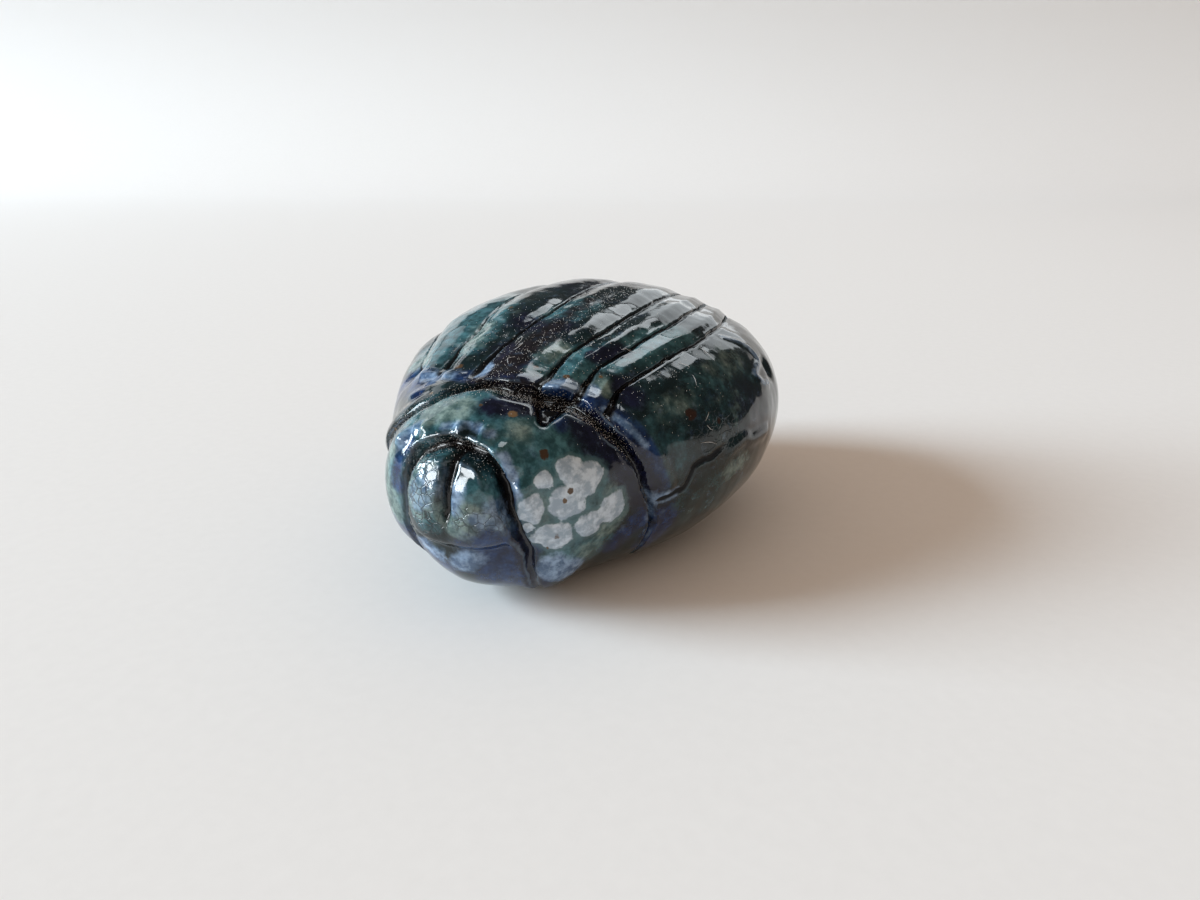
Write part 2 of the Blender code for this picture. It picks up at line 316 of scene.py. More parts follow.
@dataclass
class BlisterPatch:
    """The patch of blisters on the right of the collar, where the glaze boiled and froze."""

    form: BodyForm
    height: float = 0.00018
    flat_share: float = 0.75
    edge: Band = (-0.08, 0.22)
    wobble: float = 0.07
    facing_margin: float = 0.003
    blisters: tuple[Blister, ...] = (
        Blister((0.459, -0.771, 0.579), 0.00088),
        Blister((0.510, -0.736, 0.530), 0.00132, 1.25, 0.3),
        Blister((0.455, -0.785, 0.462), 0.00134),
        Blister((0.387, -0.832, 0.552), 0.00068),
        Blister((0.345, -0.858, 0.455), 0.00106, 0.80, 0.0),
        Blister((0.397, -0.795, 0.338), 0.00132, 1.35, -0.1),
        Blister((0.520, -0.719, 0.361), 0.00112),
        Blister((0.578, -0.642, 0.395), 0.00132, 1.05, 0.9),
        Blister((0.330, -0.862, 0.385), 0.00042),
    )

    def nearness(self, points: np.ndarray) -> np.ndarray:
        """How far inside the nearest blister each point is: 1 at its middle, 0 at its edge, then negative."""
        near = np.full(len(points), -2.0)
        for number, blister in enumerate(self.blisters):
            middle = self.form.spot(blister.place)
            outward = middle - self.form.centre
            outward /= np.linalg.norm(outward)
            side = np.cross((0.0, 0.0, 1.0), outward)
            side /= np.linalg.norm(side)
            rise = np.cross(outward, side)
            x, y = (points - middle) @ side, (points - middle) @ rise
            turn = blister.turn
            x, y = x * math.cos(turn) + y * math.sin(turn), y * math.cos(turn) - x * math.sin(turn)
            x, y = x / math.sqrt(blister.stretch), y * math.sqrt(blister.stretch)
            angle = np.arctan2(y, x)
            edge = 1 + self.wobble * (np.sin(3 * angle + number) + 0.6 * np.sin(5 * angle + 2 * number))
            ratio = np.sqrt(x**2 + y**2) / (blister.radius * edge)
            facing = (points - middle) @ outward > -self.facing_margin
            near = np.where(facing, np.maximum(near, 1 - ratio), near)
        return near

    def relief(self, points: np.ndarray) -> np.ndarray:
        """Height of the flat domes."""
        near = self.nearness(points)
        flat = self.flat_share * smooth_step(near, *self.edge)
        return self.height * (flat + (1 - self.flat_share) * np.clip(near, 0, 1))


@dataclass(frozen=True)
class Zone:
    """Stretch of the surface where something gathers: its path, reach in metres and strength."""

    path: tuple[Place, ...]
    reach: float
    strength: float = 1.0

    def mask(self, form: BodyForm, points: np.ndarray) -> np.ndarray:
        """Strength at each point, falling to 0 at the reach."""
        if len(self.path) == 1:
            distance = np.linalg.norm(points - form.spot(self.path[0]), axis=1)
        else:
            distance = distance_to(points, form.line(self.path))[0]
        return self.strength * hump(distance, self.reach)


@dataclass(frozen=True)
class GlazePool:
    """Glaze of one colour that flowed together, along a short path and out to a reach in metres. Some milk
    pools are painted highlights instead.
    """

    kind: Pool
    reach: float
    strength: float
    path: tuple[Place, ...]

    def mask(self, form: BodyForm, points: np.ndarray) -> np.ndarray:
        """Share of this pool's colour at each point before the glaze's grain breaks it up."""
        spots = [form.spot(item) for item in self.path]
        if len(spots) == 1:
            distance = np.linalg.norm(points - spots[0], axis=1)
        else:
            distance = distance_to(points, np.array(spots))[0]
        return self.strength * np.clip(1 - (distance / self.reach) ** 2, 0, 1)


# Each row is one pool: its reach in millimetres, its strength, and the path that it runs along.
POOL_ROWS: dict[Pool, tuple[tuple[float, float, tuple[Place, ...]], ...]] = {
    Pool.TEAL: (
        (3.0, 0.9, ((-0.624, -0.313, 0.792), (-0.5, -0.45, 0.79))),
        (2.2, 0.9, ((-0.255, -0.446, 0.856), (-0.303, -0.264, 0.909), (-0.33, -0.1, 0.93))),
        (3.0, 0.95, ((-0.56, -0.2, 0.86), (-0.48, 0.05, 0.92))),
        (2.6, 0.9, ((-0.4, -0.35, 0.87), (-0.38, -0.15, 0.92))),
        (2.6, 0.9, ((0.08, -0.094, 0.971), (0.03, -0.2, 0.95))),
        (2.0, 0.95, ((0.193, -0.537, 0.834), (0.159, -0.47, 0.859))),
        (1.9, 0.95, ((0.329, -0.484, 0.823), (0.27, -0.4, 0.86))),
        (2.2, 0.85, ((0.507, -0.266, 0.857), (0.42, -0.36, 0.85), (0.58, -0.05, 0.88))),
        (3.4, 0.3, ((0.662, -0.438, 0.668), (0.732, -0.452, 0.53))),
        (4.2, 0.3, ((0.804, -0.188, 0.719), (0.86, -0.05, 0.7))),
        (4.0, 0.3, ((0.81, -0.291, 0.305), (0.93, -0.05, 0.33))),
        (2.5, 1.15, ((-0.172, -0.85, 0.709), (0.036, -0.8, 0.761))),
        (2.8, 1.15, ((0.265, -0.809, 0.702), (0.362, -0.785, 0.661), (0.31, -0.875, 0.602))),
        (2.6, 0.95, ((0.481, -0.676, 0.231), (0.43, -0.74, 0.28))),
        (4.6, 0.95, ((0.45, -0.76, 0.47),)),
        (1.6, 1.0, ((0.185, -0.957, 0.53),)),
        (1.8, 0.8, ((-0.049, -0.939, 0.622), (-0.071, -0.997, 0.482), (-0.027, -0.997, 0.434))),
        (2.6, 1.0, ((-0.271, -0.908, 0.591), (-0.295, -0.908, 0.4), (-0.33, -0.85, 0.5))),
        (4.5, 0.75, ((-0.86, -0.1, 0.6), (-0.8, 0.25, 0.7))),
        (4.0, 0.75, ((-0.2, 0.45, 0.86), (0.15, 0.65, 0.72))),
        (3.5, 0.7, ((-0.45, 0.78, 0.45), (0.5, 0.72, 0.48))),
    ),
    Pool.SAGE: (
        (1.7, 1.05, ((-0.11, -0.848, 0.728), (-0.01, -0.825, 0.748))),
        (1.3, 0.9, ((0.265, -0.809, 0.702),)),
        (1.6, 0.75, ((-0.255, -0.446, 0.856), (-0.32, -0.29, 0.9))),
        (1.9, 0.75, ((-0.625, -0.381, 0.747), (-0.56, -0.43, 0.77))),
        (1.3, 0.85, ((0.159, -0.47, 0.859), (0.185, -0.41, 0.88))),
        (1.4, 0.85, ((0.45, -0.486, 0.78),)),
        (1.4, 0.34, ((0.678, -0.401, 0.686), (0.728, -0.312, 0.71))),
        (2.2, 0.36, ((0.806, 0.066, 0.789), (0.78, -0.08, 0.78))),
        (2.0, 0.3, ((0.914, -0.088, 0.631),)),
        (1.3, 0.6, ((0.912, -0.165, 0.392), (0.945, -0.08, 0.41))),
        (1.9, 1.35, ((0.144, -0.974, 0.424), (0.1, -0.972, 0.44))),
        (1.0, 0.95, ((0.235, -0.914, 0.383),)),
        (1.7, 0.8, ((0.352, -0.855, 0.467), (0.34, -0.86, 0.4))),
        (1.6, 1.1, ((-0.071, -0.997, 0.482), (-0.05, -0.99, 0.56))),
        (1.9, 1.15, ((-0.295, -0.908, 0.4), (-0.31, -0.88, 0.48))),
        (1.2, 0.75, ((-0.271, -0.908, 0.591),)),
        (1.9, 0.95, ((0.597, -0.609, 0.437), (0.56, -0.65, 0.34))),
        (1.5, 0.6, ((0.481, -0.676, 0.231),)),
        (2.5, 0.6, ((-0.88, 0.05, 0.62), (-0.7, 0.45, 0.7))),
        (2.2, 0.55, ((0.05, 0.85, 0.56), (0.3, 0.8, 0.5))),
    ),
    Pool.COBALT: (
        (1.2, 0.92, (
            (-0.15, -0.665, 0.82), (0.094, -0.635, 0.8), (0.277, -0.59, 0.785), (0.415, -0.575, 0.755),
            (0.502, -0.54, 0.708), (0.598, -0.536, 0.656), (0.65, -0.516, 0.581), (0.69, -0.48, 0.45),
        )),
        (2.0, 0.68, ((-0.573, -0.486, 0.718), (-0.336, -0.658, 0.742))),
        (3.0, 0.85, ((-0.62, -0.5, 0.64), (-0.66, -0.48, 0.4))),
        (2.8, 1.0, ((0.201, -0.868, 0.222), (0.235, -0.788, 0.125), (0.19, -0.907, 0.32))),
        (1.4, 0.72, ((0.532, -0.558, 0.211), (0.638, -0.511, 0.306), (0.639, -0.47, 0.388))),
        (1.1, 0.85, ((0.32, -0.8, 0.3), (0.29, -0.87, 0.45), (0.27, -0.88, 0.56))),
        (2.0, 0.75, ((-0.282, -0.881, 0.291), (-0.211, -0.872, 0.279), (-0.05, -0.9, 0.2))),
        (1.1, 0.75, ((-0.177, -0.918, 0.643), (-0.221, -0.943, 0.501))),
        (2.0, 0.75, ((0.7, -0.416, 0.28), (0.6, -0.389, 0.181))),
        (1.5, 0.75, ((0.036, -0.613, 0.822), (0.05, -0.52, 0.84))),
        (0.9, 0.9, ((0.382, -0.696, 0.695),)),
        (3.0, 0.6, ((-0.95, 0.15, 0.3), (-0.8, 0.5, 0.25))),
    ),
    Pool.NAVY: (
        (1.7, 0.9, ((-0.061, -0.451, 0.873), (0.02, -0.58, 0.83))),
        (2.2, 0.75, ((-0.086, -0.272, 0.927), (0.085, -0.286, 0.904))),
        (1.3, 0.95, ((0.354, -0.386, 0.855), (0.43, -0.3, 0.87))),
        (1.5, 0.9, ((0.499, -0.425, 0.758), (0.545, -0.44, 0.73))),
        (1.3, 1.0, ((0.12, -0.785, 0.76), (0.242, -0.728, 0.751))),
        (2.3, 1.0, (
            (0.448, -0.62, 0.672), (0.548, -0.6, 0.596), (0.64, -0.555, 0.5), (0.655, -0.52, 0.42),
        )),
        (3.2, 0.55, ((0.931, -0.034, 0.626), (0.96, 0.1, 0.52))),
        (3.5, 0.6, ((-0.15, 0.15, 0.98), (0.25, 0.4, 0.9))),
        (1.1, 0.95, ((0.3, -0.87, 0.33), (0.3, -0.82, 0.227), (0.27, -0.73, 0.12))),
    ),
    Pool.SOOT: (
        (1.8, 0.85, ((0.05, -0.6, 0.82), (0.06, -0.38, 0.91))),
        (1.2, 0.7, ((0.06, -0.38, 0.91), (0.11, -0.05, 0.96))),
        (1.5, 0.8, ((-0.02, -0.655, 0.8), (0.16, -0.64, 0.79))),
    ),
    # Milk pools: pale milky glaze, and on the lips and rims painted highlights.
    Pool.MILK: (
        # The next three rows: pale glaze thinning at the wing cases' front edge, partly a painted reflection.
        (0.9, 1.0, ((-0.053, -0.64, 0.826), (-0.075, -0.59, 0.835))),
        (0.8, 0.85, ((0.24, -0.59, 0.79), (0.343, -0.562, 0.801))),
        (0.9, 0.8, ((0.43, -0.53, 0.78), (0.4, -0.55, 0.78))),
        # Painted highlight on the left lip of the wing cases.
        (1.1, 0.5, ((-0.205, -0.64, 0.8), (-0.355, -0.6, 0.774), (-0.5, -0.53, 0.74))),
        (1.3, 1.0, ((0.1, -0.921, 0.26), (0.06, -0.93, 0.23))),
        (1.0, 0.8, ((-0.06, -0.94, 0.25), (-0.12, -0.93, 0.28))),
        (1.5, 1.2, ((0.373, -0.77, 0.211), (0.414, -0.706, 0.16))),
        (1.5, 0.52, ((-0.013, -0.984, 0.566), (-0.06, -0.99, 0.5))),
        (0.9, 0.65, ((0.105, -0.972, 0.542), (0.09, -0.975, 0.48))),
        (0.8, 0.6, ((0.225, -0.938, 0.474), (0.245, -0.92, 0.42), (0.17, -0.965, 0.44))),
        (0.7, 0.8, ((0.7, -0.47, 0.38), (0.75, -0.415, 0.385))),
        (0.7, 0.5, ((0.66, -0.48, 0.4), (0.665, -0.475, 0.3))),
        # Painted highlight along the wing cases' lip at the right of the border.
        (0.4, 0.75, ((0.49, -0.552, 0.72), (0.58, -0.53, 0.66), (0.64, -0.508, 0.59))),
        # Painted highlight along the right wall of the head trench.
        (0.5, 0.95, ((0.255, -0.87, 0.64), (0.3, -0.885, 0.54), (0.33, -0.88, 0.46))),
        # Pale line along the tail ridge, partly a painted highlight.
        (0.45, 0.85, (
            (0.743, 0.153, 0.835), (0.823, 0.227, 0.782), (0.883, 0.236, 0.726), (0.907, 0.12, 0.705),
            (0.94, 0.16, 0.66), (0.95, 0.225, 0.64),
        )),
        # Painted highlights along the collar's torn rim.
        (0.5, 0.6, (
            (-0.01, -0.862, 0.7), (0.054, -0.865, 0.712), (0.123, -0.862, 0.712), (0.187, -0.868, 0.698),
        )),
        # Painted highlight on the collar's front rim at the left.
        (0.9, 0.6, ((-0.21, -0.9, 0.64), (-0.154, -0.885, 0.687))),
    ),
}
POOLS: tuple[GlazePool, ...] = tuple(
    GlazePool(kind, reach * MM, strength, path)
    for kind, rows in POOL_ROWS.items()
    for reach, strength, path in rows
)


@dataclass(frozen=True)
class Speck:
    """One spot of iron that bled through the glaze (three are painted glints instead): its place, radius in
    metres and paleness.
    """

    place: Place
    radius: float
    pale: float = 0.0


SPECKS: tuple[Speck, ...] = (
    Speck((0.212, -0.765, 0.735), 0.34 * MM, 0.9),
    Speck((0.366, -0.789, 0.628), 0.36 * MM, 0.15),
    Speck((-0.206, -0.589, 0.818), 0.36 * MM, 0.3),
    Speck((0.157, -0.546, 0.840), 0.26 * MM, 0.4),
    Speck((0.303, -0.538, 0.815), 0.30 * MM, 0.3),
    Speck((0.428, -0.461, 0.809), 0.20 * MM, 0.5),
    Speck((0.781, -0.319, 0.657), 0.52 * MM, 0.0),
    Speck((0.873, -0.218, 0.607), 0.28 * MM, 0.0),
    Speck((-0.249, -0.166, 0.947), 0.30 * MM, 0.5),
    Speck((0.080, -0.790, 0.760), 0.16 * MM, 0.3),
    Speck((-0.020, -0.815, 0.750), 0.14 * MM, 0.2),
    Speck((0.462, -0.765, 0.505), 0.24 * MM, 0.3),
    Speck((0.449, -0.788, 0.472), 0.24 * MM, 0.5),
    Speck((0.480, -0.762, 0.425), 0.14 * MM, 0.4),
    Speck((0.410, -0.785, 0.340), 0.30 * MM, 0.4),
    Speck((0.375, -0.800, 0.290), 0.20 * MM, 0.4),
    Speck((-0.300, -0.690, 0.730), 0.12 * MM, 1.0),
    Speck((-0.250, -0.820, 0.680), 0.12 * MM, 1.0),
    # The next three buff specks are painted glints: small orange glints along the left of the border groove.
    Speck((-0.365, -0.725, 0.690), 0.24 * MM, 0.8),
    Speck((-0.400, -0.765, 0.610), 0.22 * MM, 0.8),
    Speck((-0.210, -0.735, 0.755), 0.18 * MM, 0.6),
    Speck((-0.860, 0.120, 0.560), 0.40 * MM, 0.1),
    Speck((-0.300, 0.700, 0.620), 0.35 * MM, 0.2),
    Speck((0.500, 0.600, 0.640), 0.30 * MM, 0.1),
)


@dataclass
class SoftForms:
    """Rounded forms pressed up by the fingers: collar, wing-case lip, lobes of the head and chin."""

    lines: ClayLines
    border_width: float = 0.0026
    head_cut_width: float = 0.0026
    collar_reach: float = 0.0034
    collar_height: float = 0.00069
    lip_reach: float = 0.0013
    lip_height: float = 0.00035
    lip_offset: float = 0.6
    lobe_reach: float = 0.0026
    lobe_height: float = 0.00050
    lobe_sides: tuple[float, float] = (-0.105, 0.125)
    lobe_drop: float = -0.02
    chin_reach: float = 0.0050
    chin_height: float = 0.00070
    edge_reach: float = 0.0009
    edge_height: float = 0.00034
    edge_offset: float = 0.62
    edge_lift: float = 0.02
    crack_ridge_share: float = 0.7
    notch_depth: float = 0.00105
    notch_half_width: float = 1.30
    notch_taper: float = 0.90
    notch_wall: float = 0.45
    notch_start: Band = (-0.0008, 0.0001)
    pit_radius: float = 0.0015
    pit_depth: float = 0.00060
    ridge_reach: float = 0.0006
    ridge_height: float = 0.00018
    bead_reach: float = 0.00075
    bead_height: float = 0.00024

    def ridge(self, points: np.ndarray, line: np.ndarray, reach: float, height: float) -> np.ndarray:
        """Height of a rounded ridge along a line."""
        return height * hump(distance_to(points, line)[0], reach)

    def notch(self, points: np.ndarray) -> np.ndarray:
        """Depth share of the triangular notch in the collar's rear edge, 0 outside it."""
        form, lines = self.lines.form, self.lines
        left, right = (form.spot(item) for item in lines.notch_mouth)
        distance, share = distance_to(points, np.array(((left + right) / 2, form.spot(lines.notch_point))))
        middle, inward = (left + right) / 2, form.spot(lines.notch_point) - (left + right) / 2
        reach = np.linalg.norm(right - left) / 2 * (self.notch_half_width - self.notch_taper * share)
        ahead = (points - middle) @ inward / np.linalg.norm(inward)
        return smooth_step(1 - distance / reach, 0.0, self.notch_wall) * smooth_step(ahead, *self.notch_start)

    def relief(self, points: np.ndarray) -> np.ndarray:
        """Height change of all the soft forms.

        Args:
            points: Points of the plain surface in metres, one a row.

        Returns:
            Height in metres along each point's ray.
        """
        form, lines = self.lines.form, self.lines
        relief = self.ridge(points, form.line(lines.collar), self.collar_reach, self.collar_height)
        edge_shift = np.array((self.head_cut_width * self.edge_offset, 0.0, form.height * self.edge_lift))
        edge = form.onto(form.line(lines.head[4:9]) + edge_shift)
        relief += self.ridge(points, edge, self.edge_reach, self.edge_height)
        lip_shift = np.array((0.0, self.border_width / 2 + self.lip_reach * self.lip_offset, 0.0))
        lip = form.onto(form.line(lines.border[2:9]) + lip_shift)
        relief += self.ridge(points, lip, self.lip_reach, self.lip_height)
        lobes = np.zeros(len(points))
        for gap in self.lobe_sides:
            lobe = form.onto(form.line(lines.median) + form.place(gap, 0.0, self.lobe_drop))
            lobes = np.maximum(lobes, self.ridge(points, lobe, self.lobe_reach, self.lobe_height))
        relief += lobes + self.ridge(points, form.line(lines.chin), self.chin_reach, self.chin_height)
        relief += self.ridge(points, form.line(lines.tail_ridge), self.ridge_reach, self.ridge_height)
        crack_height = self.crack_ridge_share * self.edge_height
        relief += self.ridge(points, form.line(lines.crack_ridge), self.edge_reach, crack_height)
        for bead in lines.lip_beads:
            relief += self.ridge(points, form.line(bead), self.bead_reach, self.bead_height)
        pit = np.linalg.norm(points - form.spot(lines.tail_pit), axis=1)
        relief -= self.pit_depth * hump(pit, self.pit_radius)
        return relief - self.notch_depth * self.notch(points)


@dataclass(frozen=True)
class TornRim:
    """Lumps that the blade tore up along the collar's front edge.

    Each of the waves that shape them has a size, a pace along the edge and a shift.
    """

    height: float = 0.00055
    reach: float = 0.00095
    highest: float = 1.1
    level: float = 0.50
    waves: tuple[tuple[float, float, float], ...] = ((0.45, 34.0, 1.0), (0.30, 71.0, 0.0))
    path: tuple[Place, ...] = (
        (-0.230, -0.885, 0.640), (-0.150, -0.880, 0.690), (-0.060, -0.862, 0.695), (0.054, -0.865, 0.706),
        (0.123, -0.862, 0.708), (0.187, -0.868, 0.690), (0.240, -0.870, 0.650), (0.300, -0.875, 0.560),
        (0.325, -0.875, 0.480),
    )

    def relief(self, form: BodyForm, points: np.ndarray) -> np.ndarray:
        """Height of the lumps at each point."""
        distance, share = distance_to(points, form.line(self.path))
        lumps = sum((size * np.sin(pace * share + shift) for size, pace, shift in self.waves), self.level)
        return self.height * np.clip(lumps, 0.0, self.highest) * hump(distance, self.reach)


@dataclass(frozen=True)
class CutCourse:
    """How a cut's width and depth change along it, as shares at steps of its length."""

    steps: tuple[float, ...]
    swell: tuple[float, ...]
    deep: tuple[float, ...]


COURSES: dict[Cut, CutCourse] = {
    Cut.BORDER: CutCourse(
        (0.00, 0.30, 0.40, 0.46, 0.55, 0.63, 0.70, 0.90, 1.00),
        (0.20, 0.28, 0.50, 0.90, 1.00, 0.60, 0.42, 0.34, 0.24),
        (0.30, 0.60, 0.90, 1.00, 1.00, 0.95, 0.85, 0.70, 0.20),
    ),
    Cut.HEAD: CutCourse(
        (0.00, 0.12, 0.25, 0.36, 0.48, 0.60, 0.72, 0.82, 0.90, 1.00),
        (0.25, 0.35, 0.42, 0.75, 0.85, 0.75, 0.66, 0.58, 0.52, 0.45),
        (0.15, 0.25, 0.40, 0.85, 1.00, 1.00, 0.95, 0.70, 0.35, 0.10),
    ),
}


@dataclass(frozen=True)
class CutSize:
    """Sizes of one kind of cut in metres: full width, depth, burr, hand's waver, and sunk shoulders."""

    width: float
    depth: float
    burr: float
    burr_width: float
    waver: float = 0.0
    shoulder: float = 0.0
    shoulder_reach: float = 0.0012


CUT_PARTS: tuple[str, ...] = ("width", "depth", "burr", "burr width", "shoulder", "shoulder reach")


class CutterLines:
    """Polylines that the carving tree cuts along, with their own width and depth shares at each point."""

    # Each row is one sway of the hand: its pace in radians a millimetre, its share, and how far its phase
    # shifts from one line to the next.
    SWAYS: tuple[tuple[float, float, float], ...] = ((0.9, 1.0, 1.0), (2.3, 0.6, 2.0), (5.1, 0.3, 0.0))
    PHASE_STEP: float = 1.7

    def __init__(self, kind: Cut, form: BodyForm, waver: float) -> None:
        """Start an empty set of lines of one kind.

        Args:
            kind: The kind of cut.
            form: The body on whose surface the lines lie.
            waver: How far the hand strays from the line, in metres.
        """
        self.kind = kind
        self.form = form
        self.waver = waver
        self.points: list[np.ndarray] = []
        self.swell: list[np.ndarray] = []
        self.deep: list[np.ndarray] = []

    def add(self, line: np.ndarray, swell: np.ndarray, deep: np.ndarray) -> None:
        """Add one line with its width and depth shares."""
        phase = self.PHASE_STEP * len(self.points)
        run = np.concatenate(((0.0,), np.cumsum(np.linalg.norm(np.diff(line, axis=0), axis=1)))) * 1000
        sway = sum(share * np.sin(pace * run + shift * phase) for pace, share, shift in self.SWAYS)
        side = np.cross(np.gradient(line, axis=0), line - self.form.centre)
        side /= np.linalg.norm(side, axis=1, keepdims=True)
        self.points.append(self.form.onto(line + side * (sway * self.waver)[:, None]))
        self.swell.append(swell)
        self.deep.append(deep)

    def build(self) -> bpy.types.Object:
        """Make the lines one mesh of edges, with point attributes swell and deep."""
        vertices = np.vstack(self.points)
        edges: list[tuple[int, int]] = []
        start = 0
        for line in self.points:
            edges += chain(start, len(line))
            start += len(line)
        mesh = bpy.data.meshes.new(self.kind.value)
        mesh.from_pydata(vertices.tolist(), edges, [])
        for name, parts in (("swell", self.swell), ("deep", self.deep)):
            mesh.attributes.new(name, "FLOAT", "POINT").data.foreach_set("value", np.concatenate(parts))
        return placed(self.kind.value + " lines", mesh)


class Tree:
    """Short way to build a node tree: each call adds its nodes and returns the last one's output socket."""

    def __init__(self, nodes: bpy.types.NodeTree) -> None:
        """Wrap a node tree."""
        self.tree = nodes

    def add(
        self, kind: str, inputs: dict | None = None, out: int | str = 0, **settings: object
    ) -> Socket | None:
        """Add one node.

        Args:
            kind: The node's type name.
            inputs: Values or sockets by the input's name or number.
            out: Name or number of the output wanted.
            **settings: Properties of the node.

        Returns:
            The wanted output socket, or nothing for a node that has none.
        """
        node = self.tree.nodes.new(kind)
        for name, value in settings.items():
            setattr(node, name, value)
        for name, value in (inputs or {}).items():
            if isinstance(value, Socket):
                self.tree.links.new(value, node.inputs[name])
            else:
                node.inputs[name].default_value = value
        return node.outputs[out] if node.outputs else None

    def math(self, operation: str, *values: float | Socket, clamp: bool = False) -> Socket:
        """One math node."""
        return self.add("ShaderNodeMath", dict(enumerate(values)), operation=operation, use_clamp=clamp)

    def mix(self, share: Socket | float, first: Socket | Colour, second: Socket | Colour) -> Socket:
        """Mix of two colours."""
        return self.add("ShaderNodeMix", {0: share, 6: first, 7: second}, out=2, data_type="RGBA")


class ShaderTree(Tree):
    """A material's node tree, with short calls for the steps that the finishes repeat."""

    def __init__(self, name: str) -> None:
        """Make a material with an empty node tree."""
        self.material = bpy.data.materials.new(name)
        self.material.use_nodes = True
        super().__init__(self.material.node_tree)
        self.tree.nodes.clear()
        self.spot = self.add("ShaderNodeTexCoord", out="Object")

    def attribute(self, name: str) -> Socket:
        """Value that the mesh stores at its points."""
        return self.add("ShaderNodeAttribute", out="Fac", attribute_name=name)

    def noise(self, scale: float, detail: float = 3.0, shift: float = 0.0, rough: float = 0.55) -> Socket:
        """Noise between 0 and 1 with features of about 1/scale metres, read from another place if shifted."""
        where = self.spot
        if shift:
            away = (shift, 2 * shift, -shift)
            where = self.add("ShaderNodeVectorMath", {0: where, 1: away}, operation="ADD")
        inputs = {"Vector": where, "Scale": scale, "Detail": detail, "Roughness": rough}
        return self.add("ShaderNodeTexNoise", inputs)

    def step(self, value: Socket, start: float, end: float) -> Socket:
        """Smooth rise from 0 at the start value to 1 at the end value."""
        inputs = {"Value": value, "From Min": start, "From Max": end}
        return self.add("ShaderNodeMapRange", inputs, interpolation_type="SMOOTHSTEP")

    def finish(self, colour: object, rough: object, bump: Socket | None, **constants: object) -> None:
        """End the tree in one Principled shader.

        Args:
            colour: Base colour, a value or a socket.
            rough: Roughness, a value or a socket.
            bump: Height in metres, if the surface has a fine relief.
            **constants: Values of the shader's other inputs, with underscores for spaces.
        """
        inputs: dict = {"Base Color": colour, "Roughness": rough}
        inputs.update({name.replace("_", " "): value for name, value in constants.items()})
        if bump is not None:
            inputs["Normal"] = self.add("ShaderNodeBump", {"Height": bump, "Strength": 1.0, "Distance": 1.0})
        shader = self.add("ShaderNodeBsdfPrincipled", inputs)
        self.add("ShaderNodeOutputMaterial", {"Surface": shader})


@dataclass(frozen=True)
class CutLook:
    """How the glaze looks in one kind of cut: its ragged edge, where it is painted black as shade together
    with the dark pooled glaze, and how dry it is.
    """

    torn: float
    pooled_glaze_and_shade: Band
    dryness: float = 0.2
    pale_rim: bool = True


